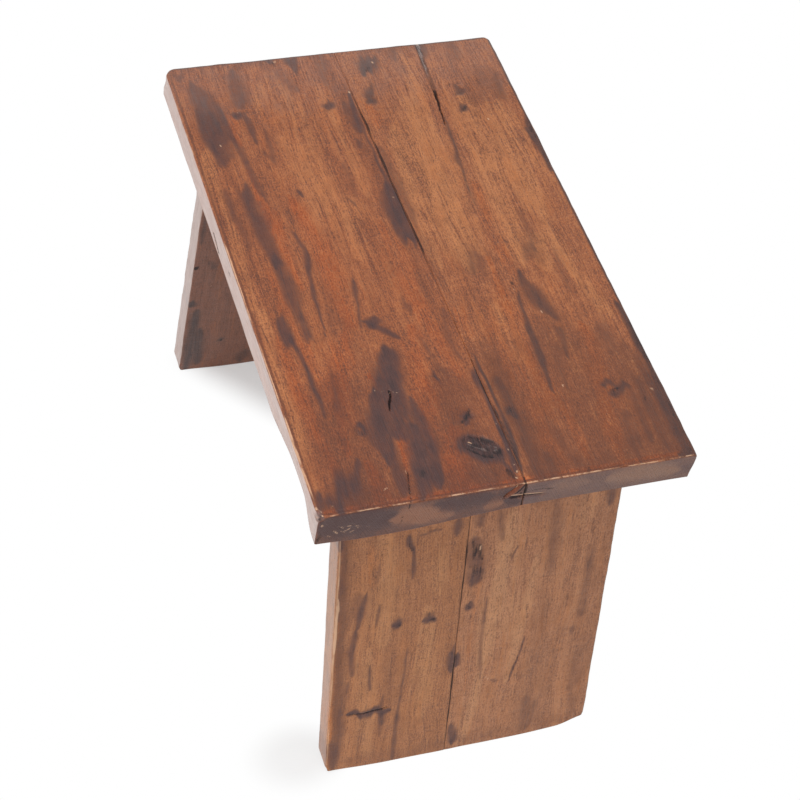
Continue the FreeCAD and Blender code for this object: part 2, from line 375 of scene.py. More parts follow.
top_low = corner("top_front_board", 0)
top_high = corner("top_back_board", 1)
joint_left = corner("top_back_board", 0)[Y]
joint_right = corner("top_front_board", 1)[Y]
joint_middle = (joint_left + joint_right) / 2
joint_reach = 12
leg_head = corner("right_leg_front_board", 1)[Z]
housing_depth = leg_head - top_low[Z]
housing_shoulder = 10.0
leg_splay = math.radians(10.4)
leg_slope = math.tan(leg_splay)
leg_thickness = 20.0
leg_through = leg_thickness / math.cos(leg_splay)
right_sole = corner("right_leg_front_board", 1)[X]
face_at_top = right_sole - leg_slope * top_low[Z]
stub_back, stub_front = face_at_top - leg_through, face_at_top
right_leg_low_y = corner("right_leg_front_board", 0)[Y]
right_leg_high_y = corner("right_leg_back_board", 1)[Y]


def top_joint(x):
    """Where the joint of the two tapered boards lies at each x."""
    return joint_left + (joint_right - joint_left) * (x - top_low[X]) / (top_high[X] - top_low[X])


def nail_marks(node):
    """Places of the filled nail holes of one row, from the centres of the fillings' solids."""
    least_spacing = 10
    corners = np.array([v.co[:2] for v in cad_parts[node].data.vertices]) / MM
    corners = corners[np.argsort(corners[:, 1])]
    splits = np.flatnonzero(np.diff(corners[:, 1]) > least_spacing) + 1
    return [group.mean(0) for group in np.split(corners, splits)]


nail_places = nail_marks("right_nail_fillings") + nail_marks("left_nail_fillings")


def planed_top_board(front, seed, close_work):
    """A board of the top before it is painted: its block, worn arrises, taper and dips."""
    lows = [top_low[X], top_low[Y] if front else joint_middle, top_low[Z]]
    highs = [top_high[X], joint_middle if front else top_high[Y], top_high[Z]]
    mesh_step = (2.3, 1.15, 0.75)
    housing_edges = [(end * edge, 0.1, 0.7) for end in (-1, 1) for edge in (stub_back, stub_front)]
    board = Plank(lows, highs, mesh_step, [housing_edges + close_work[0], close_work[1], []])
    board.long_side, board.glued_side = (FRONT, BACK) if front else (BACK, FRONT)
    block = board.block
    x, y, z = block.T
    board.at_joint = (y > highs[Y] - joint_reach) if front else (y < lows[Y] + joint_reach)

    # Arrises and corners, which hands and feet have rounded more above than below
    wear = ripple(block, (24, 30, 30), seed) + 0.6 * ripple(block, (6, 9, 9), seed + 1)
    handled = 0.35 + 0.65 * smooth_step(lows[Z] + 4, highs[Z] - 4, z)
    side_radius = np.where(board.at_joint, 0.5 + 0.3 * wear, (2.1 + 0.7 * wear) * handled)
    end_radius = (1.9 + 0.7 * wear) * handled
    left_corner, right_corner = (9.0, 4.2) if front else (5.0, 1.2)
    plan_radius = (np.where(x < 0, left_corner, right_corner) + 0.3 * wear) * handled
    board.ease(X, np.clip(side_radius, 0.3, 5.0))
    board.ease(Y, np.clip(end_radius, 0.5, 5.0))
    board.ease(Z, np.clip(np.where(board.at_joint, 0.5, plan_radius), 0.3, 10.0))

    # The taper towards the joint
    to_joint = (y - lows[Y] if front else highs[Y] - y) / (highs[Y] - lows[Y])
    board.points[:, Y] += (top_joint(x) - joint_middle) * to_joint

    # The lower arris: hollowed along the front, worn in at the back corner, sagging near the right end
    if front:
        worn_in = 2.9 * smooth_step(100, 150, x) * smooth_step(203, 172, x)
        worn_in = worn_in * smooth_step(highs[Z] - 5, lows[Z], z) * smooth_step(lows[Y] + 20, lows[Y], y)
        board.points[:, Y] += worn_in
    else:
        worn_in = 2.2 * smooth_step(180, 205, x) * smooth_step(highs[Z] - 3, lows[Z], z)
        board.points[:, Y] -= worn_in * smooth_step(highs[Y] - 17, highs[Y], y)
    sag = 6.3 * smooth_step(165, 207, x)
    sag = sag * (smooth_step(18, -85, y) - 0.28 * smooth_step(-95, -125, y))
    board.points[:, Z] -= sag * smooth_step(highs[Z], lows[Z], z)
    board.flat = board.points[:, :2].copy()

    # Dips left by the hand plane
    dip = 0.12 + 0.12 * ripple(block, (70, 26, 300), seed + 2) + 0.07 * ripple(block, (26, 7, 300), seed + 3)
    dip = dip + 0.10 * np.abs(ripple(block, (9, 60, 300), seed + 4)) * smooth_step(8, 30, np.abs(y - 6))
    board.dip = np.maximum(dip, 0.02)
    board.sink(UPPER, board.dip)
    board.sink(UNDER, board.dip)
    for side in (LEFT, RIGHT, board.long_side):
        board.sink(side, 0.25 + 0.2 * ripple(block, (18, 18, 7), seed + 5 + side[0]))
    return board


def painted_top_board(board, front, strokes, seed):
    """The marks on a board of the top: its strokes, what wear and dirt have left all along it, and a painted
    sheen and highlight.
    """
    block, flat, upper, arris = board.block, board.flat, board.on(UPPER), board.arris_distance()
    marks = {mark: brushed(flat, strokes[mark], seed + 20 + 4 * i)
             for i, mark in enumerate(("stain", "tan", "orange", "shade"))}
    lay(marks, "stain", brushed(flat, strokes["spots"], seed + 33, (1.2, 0.6)))
    marks["soot"] = brushed(flat, strokes["soot"], seed + 31, (1.0, 0.5)) * upper

    # Pale wood on the rubbed arrises, and a painted pale sheen on the long side
    near_joint = board.on(board.glued_side) | (board.at_joint & (np.abs(block[:, Y] - joint_middle) < 1.4))
    rubbed = ripple(block, (20, 20, 30), seed + 43) + 0.5 * ripple(block, (5, 5, 9), seed + 44)
    marks["wear"] = 0.8 * smooth_step(1.6, 0.6, arris) * smooth_step(-0.1, 0.7, rubbed) * ~near_joint
    lay(marks, "wear", brushed(flat, strokes["wear"], seed + 41, (1.0, 0.4)) * upper)
    # Painted sheen: the long side is laid pale, most of all on the front board
    painted_sheen_side = board.on(board.long_side) & (arris > 0.3)
    marks["grey"] = (0.85 if front else 0.3) * painted_sheen_side * smooth_step(0.3, 1.4, arris)

    # Thin lines beside the long arris, the pale one on the front both worn wood and a painted highlight, and
    # a dark line and a painted pale sheen towards the left end
    from_side = board.points[:, Y] - board.lows[Y] if front else board.highs[Y] - board.points[:, Y]
    from_side = from_side + 0.5 * ripple(block, (60, 400, 400), seed + 47)
    if front:
        worn_and_highlit_length = ripple(block, (50, 400, 400), seed + 48) + 0.5 * ripple(block, (9, 9, 9), seed + 49)
        worn_and_highlit_length = smooth_step(-0.3, 0.4, worn_and_highlit_length) * smooth_step(-192, -150, flat[:, X])
        lay(marks, "shade", 0.8 * stripe(from_side, 2.7, 1.3, 0.4) * upper)
        lay(marks, "tan", 0.6 * stripe(from_side, 5.0, 3.0, 1.0) * worn_and_highlit_length * upper)
        lay(marks, "wear", 0.9 * stripe(from_side, 1.2, 0.9, 0.3) * (0.3 + 0.7 * worn_and_highlit_length) * upper)
    else:
        lay(marks, "stain", 0.9 * smooth_step(3.4, 1.6, from_side) * upper)
    # A painted pale sheen towards the left end of the top
    lay(marks, "grey", 0.17 * smooth_step(-60, -205, flat[:, X]) * upper)
    from_left_end = board.points[:, X] - board.lows[X] + 0.5 * ripple(block, (400, 30, 400), seed + 51)
    lay(marks, "stain", 0.8 * smooth_step(3.0, 1.4, from_left_end) * upper)
    return marks


def right_end(board, marks, front, strokes, seed):
    """The end nearest the camera: a worn line on the arris that is also a painted highlight, a scored red
    line inside it, end grain.
    """
    block, upper, arris = board.block, board.on(UPPER), board.arris_distance()
    board.from_end = board.highs[X] - board.points[:, X]
    score = board.from_end + 0.35 * ripple(block, (400, 14, 400), seed + 45)
    board.sink(UPPER, 0.22 * stripe(score, 3.6, 0.8, 0.2))
    lay(marks, "orange", stripe(score, 3.8, 2.8, 1.2) * upper)
    lay(marks, "shade", stripe(score, 2.4, 1.1, 0.4) * upper)
    lay(marks, "soot", 0.42 * stripe(score, 2.5, 0.8, 0.3) * upper)
    # The pale line on the end's arris: worn wood and a painted highlight
    rubbed_and_highlit = 0.55 + 0.4 * ripple(block, (400, 9, 400), seed + 46)
    x, y, z = block.T
    if front:
        from_corner = np.hypot(x - board.highs[X], 1.5 * (y - board.lows[Y]))
        rubbed_and_highlit = rubbed_and_highlit * smooth_step(8, 16, from_corner)
    else:
        rubbed_and_highlit = rubbed_and_highlit * (0.75 + 0.5 * smooth_step(112, 120, y) + 0.5 * smooth_step(75, 45, y))
    lay(marks, "wear", stripe(board.from_end, 0.6, 1.2, 0.5) * upper * rubbed_and_highlit)
    end_side = board.on(RIGHT) & (arris > 0.3)
    end_flat = board.points[:, [Y, Z]]
    for i, (mark, lines) in enumerate(strokes.items()):
        if mark != "soot":
            marks[mark] = marks[mark] * ~end_side
        stray = (1.6, 0.8) if mark in ("stain", "tan") else (0.3, 0.15)
        lay(marks, mark, brushed(end_flat, lines, seed + 90 + 4 * i, stray) * end_side)
    marks["end_grain"] = (board.on(LEFT) | board.on(RIGHT)) * smooth_step(0.3, 1.2, arris)
    marks["end_grain"] *= 1 - 0.95 * marks["wear"] * board.on(RIGHT)


def crumbled_corner(board, marks, seed):
    """The corner at the left of the near end has been knocked until it crumbled."""
    block = board.block
    tip = np.array([board.highs[X], board.lows[Y], board.highs[Z]])
    from_tip = np.linalg.norm((block - tip) * (0.75, 1.5, 1.1), axis=1)
    from_tip = from_tip + 1.6 * ripple(block, (3, 3, 3), seed + 52)
    crumbled = smooth_step(7.0, 4.0, from_tip)
    crumbs = ripple(block, (2, 2, 2), seed + 53)
    board.points += np.outer(crumbled * (0.9 + 0.5 * crumbs), (-0.6, 0.6, -0.6))
    lay(marks, "stain", 0.6 * crumbled)
    marks["end_grain"] *= 1 - crumbled
    marks["grey"] = marks["grey"] * (1 - 0.8 * crumbled) + 0.2 * crumbled
    marks["wear"] *= 1 - crumbled
    rim = 0.62 * stripe(from_tip, 6.6, 1.7, 0.5) * smooth_step(-0.5, 0.3, crumbs)
    lay(marks, "wear", rim * board.on(UPPER))
    lay(marks, "soot", 0.7 * crumbled * smooth_step(-0.2, -0.6, crumbs))
    flecks = [((-3.5, 0, -2.8), 0.9), ((0, 3.5, -7.2), 1.2), ((-1.5, 3.0, 0), 0.8), ((-7.9, 11, 0), 0.5)]
    for fleck, size in flecks:
        from_fleck = np.linalg.norm(block - tip - fleck, axis=1)
        lay(marks, "wear", 1.1 * smooth_step(1.2, 0.4, from_fleck / size))


def opened_by_drying(board, marks, checks, seed):
    """Drying checks, black inside and widest where they start, and dirt in the joint that has opened."""
    block, flat, upper = board.block, board.flat, board.on(UPPER)
    for line, width, depth in checks:
        distance, share = beside(flat + 0.35 * np.stack([ripple(flat, (7, 2), seed + 50)] * 2, 1), line)
        open_width = width / 2 * np.sqrt(np.clip(1.1 - share, 0.02, 1))
        board.sink(UPPER, depth * np.clip(1.25 - distance / open_width, 0, 1))
        lay(marks, "soot", smooth_step(1.7, 0.7, distance / open_width) * upper)
    opening = smooth_step(-178, -150, flat[:, X]) * smooth_step(60, -20, flat[:, X]) + 0.25
    opening = opening * (0.75 + 0.35 * ripple(block, (14, 400, 400), seed + 60))
    opening = opening + 0.45 * smooth_step(150, 205, flat[:, X])
    seam_gap = np.abs(flat[:, Y] - top_joint(flat[:, X]))
    board.sink(UPPER, 1.2 * opening * np.clip(1 - seam_gap / 0.7, 0, 1))
    board.sink(RIGHT, 0.9 * np.clip(1 - seam_gap / 0.8, 0, 1))
    seam_soot = smooth_step(1.3, 0.3, seam_gap / (0.55 + 0.75 * opening)) * np.clip(opening, 0, 1) * upper
    broken_seam = 0.55 + 0.45 * smooth_step(-0.5, 0.3, ripple(block, (400, 400, 5), seed + 61))
    end_soot = smooth_step(1.3, 0.5, seam_gap) * broken_seam
    glued_end = board.on(board.glued_side) & (board.from_end < 6)
    lay(marks, "soot", np.where(board.on(RIGHT) | glued_end, end_soot, seam_soot))


def nailed_and_housed(board, marks, seed):
    """Pressed, dark wood round each nail hole, and underneath a leaning, stopped housing for each leg."""
    flat, upper = board.flat, board.on(UPPER)
    pressed_reach, sooty_reach, stained_reach = 4.6, 4.2, 5.6
    for place in nail_places:
        away = flat - place
        ring = np.hypot(away[:, 0], away[:, 1]) * (1 + 0.35 * ripple(away + place, (4, 4), seed + 70))
        board.sink(UPPER, 0.35 * smooth_step(pressed_reach, 2.2, ring))
        lay(marks, "soot", 0.42 * smooth_step(sooty_reach, 1.4, ring) * upper)
        lay(marks, "stain", 0.75 * smooth_step(stained_reach, 2.0, ring) * upper)
    for end in (-1, 1):
        along = end * board.block[:, X]
        low_y, high_y = sorted((end * right_leg_low_y, end * right_leg_high_y))
        inside = (along > stub_back) & (along < stub_front)
        inside &= (flat[:, Y] > low_y + housing_shoulder) & (flat[:, Y] < high_y - housing_shoulder)
        board.points[:, X] -= np.where(inside & board.on(UNDER), end * housing_depth * leg_slope, 0)
        board.sink(UNDER, np.where(inside, housing_depth - board.dip, 0))


def top_board(front, strokes, end_strokes, checks, seed, close_work):
    """One board of the top and its painted marks."""
    board = planed_top_board(front, seed, close_work)
    marks = painted_top_board(board, front, strokes, seed)
    right_end(board, marks, front, end_strokes, seed)
    if front:
        crumbled_corner(board, marks, seed)
    opened_by_drying(board, marks, checks, seed)
    nailed_and_housed(board, marks, seed)
    return board, marks


def framed_by_knot(place, knot, reach, push):
    """Grain positions pushed apart round a knot, so that rings and fibres flow past it."""
    away = place[:, :2] - np.array(knot)
    distance = np.hypot(away[:, 0] / 2.2, away[:, 1])
    shift = push * np.sign(away[:, 1]) * np.exp(-(distance / reach) ** 2)
    return place - np.stack([0 * shift, shift, 0 * shift], 1)


dead_knot = np.array([175.5, -9.0])
knot_half_length, knot_half_width, knot_turn = 12.6, 7.4, math.radians(50)
# Strokes in mm: x and y along the line, then half its width and its strength
front_strokes = {
    "stain": [
        ([(86, -43), (104, -50), (126, -58)], 10, 0.85), ([(104, -47), (132, -54), (162, -58)], 11, 0.85),
        ([(120, -64), (148, -70), (172, -73)], 8.5, 0.85), ([(132, -41), (165, -40), (200, -45)], 6, 0.75),
        ([(150, -47), (180, -51), (212, -57)], 6.5, 0.95), ([(158, -64), (184, -69), (205, -66)], 5, 0.65),
        ([(172, -88), (188, -98), (206, -114)], 7, 0.85), ([(196, -100), (208, -108)], 6, 0.5),
        ([(-36, -76), (5, -74.5), (60, -79)], 1.8, 0.7), ([(-80, -100), (-40, -97), (0, -95)], 7.5, 0.72),
        ([(-10, -94), (30, -92), (66, -92)], 5.5, 0.6), ([(-84, -112), (-50, -112), (-20, -109)], 3.5, 0.4),
        ([(42, -108), (56, -107), (74, -104)], 4.5, 0.8),
        ([(66, -104.5), (100, -101), (142, -99.5)], 2.6, 0.7),
        ([(-200, -79), (-176, -79), (-154, -80)], 9, 0.6),
        ([(-186, -107), (-150, -104), (-106, -102)], 12, 0.6), ([(-160, -103), (-124, -99)], 6, 0.4),
        ([(-160, -112), (-130, -111), (-104, -108)], 5, 0.6),
        ([(-150, -81), (-132, -80), (-116, -80)], 3, 0.65),
        ([(-180, -98), (-130, -92), (-60, -86)], 2.6, 0.5), ([(-212, -31), (-196, -32)], 4.5, 0.8),
        ([(-212, -50), (-200, -47)], 5, 0.75), ([(-196, -42), (-165, -36)], 5, 0.35),
        ([(-168, 1), (-145, -2), (-122, -3)], 4, 0.85), ([(-62, 1), (-34, -2), (-8, 0)], 5, 0.9),
        ([(-168, 1.5), (-60, 2), (0, 2.5)], 2, 0.6), ([(-56, -6), (-30, -8)], 4, 0.4),
        ([(20, -50), (42, -52), (64, -57)], 2.0, 0.5), ([(-114, -8), (-104, -8)], 2.4, 0.6),
        ([(46, -19), (54, -19)], 2, 0.4), ([(106, 6), (150, 7.5), (190, 8)], 2.2, 0.9),
        ([(150, 7), (188, 7), (202, 5)], 2.6, 0.9), ([(-156, -16), (-151, -17)], 2.6, 0.7),
        ([(-110, -75), (-104, -76)], 2.6, 0.5), ([(-75, -61), (-68, -60)], 2.4, 0.7),
        ([(-20, -84), (10, -80)], 3, 0.3), ([(-206, -114), (-196, -120)], 5, 0.5),
        ([(146, -8), (156, -15)], 4, 0.8), ([(110, -20), (117, -20)], 2.4, 0.8),
        ([(186, -4), (206, 3)], 2.6, 0.7), ([(148, -80), (153, -80)], 3.2, 0.9),
        ([(-130, -68), (-96, -70)], 4, 0.4), ([(-96, -26), (-60, -22)], 4, 0.3),
        ([(196, -118), (212, -126)], 5, 0.7), ([(-212, -8), (-170, -14)], 6, 0.35),
        ([(-56, -30), (-51, -27)], 2, 0.5), ([(96, -86), (130, -90), (160, -93)], 3, 0.3),
        ([(40, -70), (70, -74)], 3, 0.3), ([(76, -20), (110, -12)], 3, 0.35),
        ([(60, 3), (80, -2), (100, 2)], 3, 0.35)],
    "tan": [
        ([(36, -116), (100, -119), (160, -117)], 5, 0.5), ([(-122, -114), (-88, -121)], 6, 0.5),
        ([(-120, -118), (-40, -118), (60, -117)], 5, 0.5), ([(-120, -60), (-60, -45), (0, -38)], 16, 0.3),
        ([(-60, -25), (-25, -33)], 8, 0.35), ([(-185, -62), (-150, -70)], 6, 0.45),
        ([(-180, -20), (-120, -16), (-60, -14)], 7, 0.4),
        ([(-190, -50), (-120, -40), (-40, -50)], 14, 0.35)],
    "orange": [
        ([(160, -22), (188, -30), (214, -34)], 13, 0.9), ([(168, -82), (214, -84)], 7, 1.0),
        ([(60, -66), (110, -84), (160, -94)], 9, 0.75), ([(150, -56), (172, -58), (196, -64)], 2.5, 1.0),
        ([(-60, -68), (0, -62), (60, -62)], 8, 0.7), ([(70, -22), (120, -30), (165, -38)], 8, 0.65),
        ([(-30, -14), (40, -12), (120, -6)], 8, 0.5), ([(0, -104), (60, -98), (130, -92)], 5, 0.6),
        ([(-100, -90), (-40, -88), (30, -84)], 4, 0.8), ([(-160, -90), (-120, -93)], 3, 0.7),
        ([(186, 0), (212, 2)], 5, 0.4), ([(60, -112), (130, -110), (190, -104)], 6, 0.6),
        ([(108, -60), (114, -59)], 4, 1.2), ([(-60, -82), (0, -82)], 3, 0.6)],
    "shade": [
        ([(110, -14), (165, -18), (214, -16)], 20, 0.75), ([(100, -85), (160, -88), (214, -92)], 30, 0.6),
        ([(200, -124), (200, -60), (200, 4)], 16, 0.8), ([(-214, -120), (-206, -60), (-212, 0)], 6, 0.5),
        ([(-200, -4), (-120, -3), (0, -2), (60, 0)], 6, 0.4),
        ([(20, -70), (90, -62), (120, -58)], 8, 0.35)],
    "spots": [
        ([(59, -53), (62, -48), (67, -43), (77, -33)], 3.2, 0.8), ([(56, -43), (62, -45)], 5.0, 0.75),
        ([(63, -50), (67, -47)], 4, 0.7)],
    "soot": [
        ([(172, -14), (180, -3)], 9, 0.5), ([(145, -7), (150, -10), (155, -16)], 2.4, 0.8),
        ([(187, -52), (193, -55)], 3.0, 0.6), ([(110, -21), (115, -21)], 1.4, 0.6),
        ([(-206, -40), (-200, -48)], 4, 0.5), ([(197, 0), (205, 3)], 3.0, 0.7),
        ([(104, 6.8), (150, 8.2), (186, 8.6), (212, 7)], 0.9, 0.7), ([(149, -80), (152, -80)], 1.6, 0.7)],
    "wear": [
        ([(198, 6.6), (200, 5.6)], 0.8, 0.8), ([(202.5, 3.6), (204, 4.8)], 0.7, 0.8),
        ([(193, 6.0), (194, 6.2)], 0.6, 0.7), ([(180, 6.4), (182, 6.6)], 0.5, 0.6),
        ([(158, 5.6), (160, 5.8)], 0.5, 0.6), ([(-206, -43), (-204.5, -44)], 1.2, 0.9),
        ([(-123, -104), (-122, -103.7)], 0.8, 0.9),
        ([(117.5, -62.7), (120, -53), (122.7, -45)], 0.35, 0.55), ([(-155, -84), (-154, -84.5)], 0.8, 0.8),
        ([(94, -92.5), (96, -92.5)], 0.7, 0.7), ([(184, -61.9), (190, -62.7)], 0.4, 0.6),
        ([(-165, 1.5), (-163, 1.2)], 1.0, 1.0), ([(-53, 1.6), (-51, 1.6)], 1.0, 1.0),
        ([(195, -77), (197, -80)], 0.6, 0.8)],
}
# The same on the right end: y and z
front_end_strokes = {
    "stain": [
        ([(-124, 299), (-100, 300), (-77, 300)], 13, 0.9), ([(-118, 306), (-90, 307)], 5, 0.6),
        ([(-50, 304), (-30, 302), (-13, 304)], 8, 0.7), ([(-2, 296), (6, 294)], 5, 0.9),
        ([(-9, 303), (-2, 306)], 4, 0.6)],
    "tan": [
        ([(-76, 296), (-62, 298), (-48, 293)], 9, 1.1), ([(-62, 291), (-36, 290)], 5, 0.7),
        ([(-16, 293), (-5, 294)], 4, 0.7)],
    "orange": [([(-2.4, 301.0), (1.5, 304.4), (5.6, 309.6)], 1.9, 1.3)],
    "soot": [
        ([(-71.6, 301), (-69.6, 298.6), (-71.2, 296), (-70.4, 293), (-72, 289)], 0.55, 0.9),
        ([(-66.4, 311), (-66.8, 305)], 0.6, 1.0), ([(-3.3, 300.4), (-3.0, 299.8)], 1.6, 1.3),
        ([(-3.6, 302), (0.2, 306), (3.6, 310)], 0.8, 1.0), ([(2.6, 301), (6.4, 305), (8, 309)], 1.0, 0.9),
        ([(-1, 297.8), (8, 297.0)], 0.9, 0.9), ([(6, 302), (8, 298)], 1.2, 0.8),
        ([(-34, 289), (-22, 294)], 0.5, 0.5), ([(-40, 290), (-31, 295)], 0.5, 0.4),
        ([(-125, 284), (-122, 294)], 2.4, 0.6), ([(-124.5, 308), (-121, 301)], 2.0, 0.5)],
    "wear": [
        ([(-114, 295), (-111, 291)], 0.7, 0.8), ([(-109, 298), (-103, 297)], 0.6, 0.7),
        ([(-108, 292), (-103, 295)], 0.7, 0.8), ([(-112, 299), (-108, 296)], 0.6, 0.7),
        ([(-104, 290), (-101, 292)], 0.7, 0.7), ([(-118, 291), (-115, 289)], 0.6, 0.7),
        ([(-99, 296), (-96, 294)], 0.6, 0.6), ([(-106, 300), (-102, 299)], 0.6, 0.5),
        ([(-116, 297), (-112, 293)], 0.6, 0.6), ([(-101, 298), (-98, 292)], 0.6, 0.6),
        ([(-110, 294), (-106, 290)], 0.6, 0.6), ([(-94, 294), (-90, 292)], 0.6, 0.5),
        ([(0.4, 300.2), (4, 299.8), (9, 299.2)], 0.8, 1.3), ([(-0.6, 303.6), (1.6, 305.8)], 0.5, 0.9),
        ([(3.0, 307.4), (4.2, 308.8)], 0.5, 0.9), ([(-1.0, 302.6), (0.0, 303.6)], 0.9, 0.9),
        ([(2.4, 306.4), (3.6, 307.8)], 0.9, 1.0)],
}
# Checks: x and y along the line, then its width and its depth
front_checks = [
    ([(120.0, -53.2), (124.0, -53.6), (129.0, -56.2), (136.0, -57.6)], 1.5, 3.0),
    ([(186.0, -61.4), (192.0, -62.4), (201.0, -64.4), (212.0, -66.4)], 0.45, 1.6)]
front_close_work = ([(dead_knot[0], 11, 0.9), (128.0, 9, 1.0), (201.0, 9, 0.6)],
                    [(dead_knot[1], 10, 0.8), (-60.0, 7, 0.5), (joint_middle, 3, 0.5)])
board, marks = top_board(True, front_strokes, front_end_strokes, front_checks, 3, front_close_work)

# The front long side has a short slit and a dark speck in its pale side, where a sheen is painted into the
# colour
side_flat = board.points[:, [X, Z]]
side_slits = [([(-53, 294.8), (-46, 293.2), (-39, 291.6)], 1.5, 1.4), ([(-12, 300), (-8, 299)], 0.5, 0.2)]
for line, half_width, depth in side_slits:
    gap, share = beside(side_flat, line)
    board.sink(FRONT, depth * smooth_step(1.3, 0.3, gap / half_width))
    lay(marks, "soot", smooth_step(1.8, 0.6, gap / half_width) * board.on(FRONT))

# The dead knot has shrunk in its hole: a ring-shaped crack round a lower, rough plug
flat = board.flat
turn = np.array([[math.cos(knot_turn), math.sin(knot_turn)], [-math.sin(knot_turn), math.cos(knot_turn)]])
in_knot = (flat - dead_knot) @ turn.T / np.array([knot_half_length, knot_half_width])
knot_ring = np.hypot(in_knot[:, 0], in_knot[:, 1]) * (1 + 0.10 * ripple(flat, (5, 5), 81))
rough = ripple(flat, (2.6, 2.6), 82) + ripple(flat, (1.5, 1.5), 83)
board.sink(UPPER, smooth_step(1.1, 0.85, knot_ring) * (0.8 + 0.45 * rough))
board.sink(UPPER, 0.8 * stripe(knot_ring, 0.95, 0.10, 0.0) * smooth_step(0.2, -0.5, in_knot[:, 0]))
charred = smooth_step(1.25, 0.8, knot_ring) * (0.58 + 0.16 * rough)
lay(marks, "soot", charred + 0.3 * stripe(knot_ring, 0.9, 0.2, 0.0) * (rough > 0))
lay(marks, "stain", 0.95 * smooth_step(1.55, 0.9, knot_ring + 0.25 * in_knot[:, 1]))
light_cracks = stripe(ripple(flat @ turn.T, (9, 1.6), 84), 0, 0.16, 0.05) * smooth_step(0.9, 0.7, knot_ring)
lay(marks, "grey", 0.30 * light_cracks)
bare_tip = smooth_step(0.34, 0.1, np.hypot(in_knot[:, 0] + 0.72, 0.8 * in_knot[:, 1]) + 0.08 * rough)
lay(marks, "orange", bare_tip)
lay(marks, "wear", bare_tip * smooth_step(0.2, 0.8, rough))
marks["soot"] *= 1 - 0.8 * bare_tip

# A splinter is lost from the end, beside the joint, and a pale torn fibre lies across below it
end_flat = board.points[:, [Y, Z]]
splinter_line = front_end_strokes["orange"][0][0]
from_splinter = beside(end_flat, splinter_line)[0]
board.sink(RIGHT, 1.8 * smooth_step(2.2, 0.6, from_splinter) * (0.8 + 0.3 * ripple(end_flat, (2, 2), 91)))
hole_y, hole_z = -3.3, 300.2
from_hole = np.hypot(end_flat[:, 0] - hole_y, end_flat[:, 1] - hole_z)
board.sink(RIGHT, 2.4 * smooth_step(1.9, 0.7, from_hole))
torn_fibre = [(0.4, 300.2), (9.0, 299.2), (22.0, 297.7), (27.0, 298.6)]


def torn(board):
    """The torn fibre stands up from the end face with a gap along its lower side."""
    gap, share = beside(board.points[:, [Y, Z]] + np.array([0, 1.5]), torn_fibre)
    board.sink(RIGHT, 0.9 * smooth_step(1.3, 0.4, gap) * smooth_step(1.0, 0.7, share))


torn(board)
marks["end_grain"] *= 1 - 0.95 * smooth_step(2.4, 1.6, from_splinter)

top_front_wood = waxed_wood("Stained wood of the front board", shade(150, 83, 46), shade(204, 133, 82),
                            shade(164, 76, 26), shade(84, 42, 26), shade(72, 45, 44), shade(84, 58, 56),
                            shade(146, 100, 78), (-70, 90), 5.5)
front_board = board.made("front_board_of_the_top", top_front_wood, marks,
                         framed_by_knot(board.points, dead_knot, 13, 8))
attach(front_board, "root")
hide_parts("top_front_board")

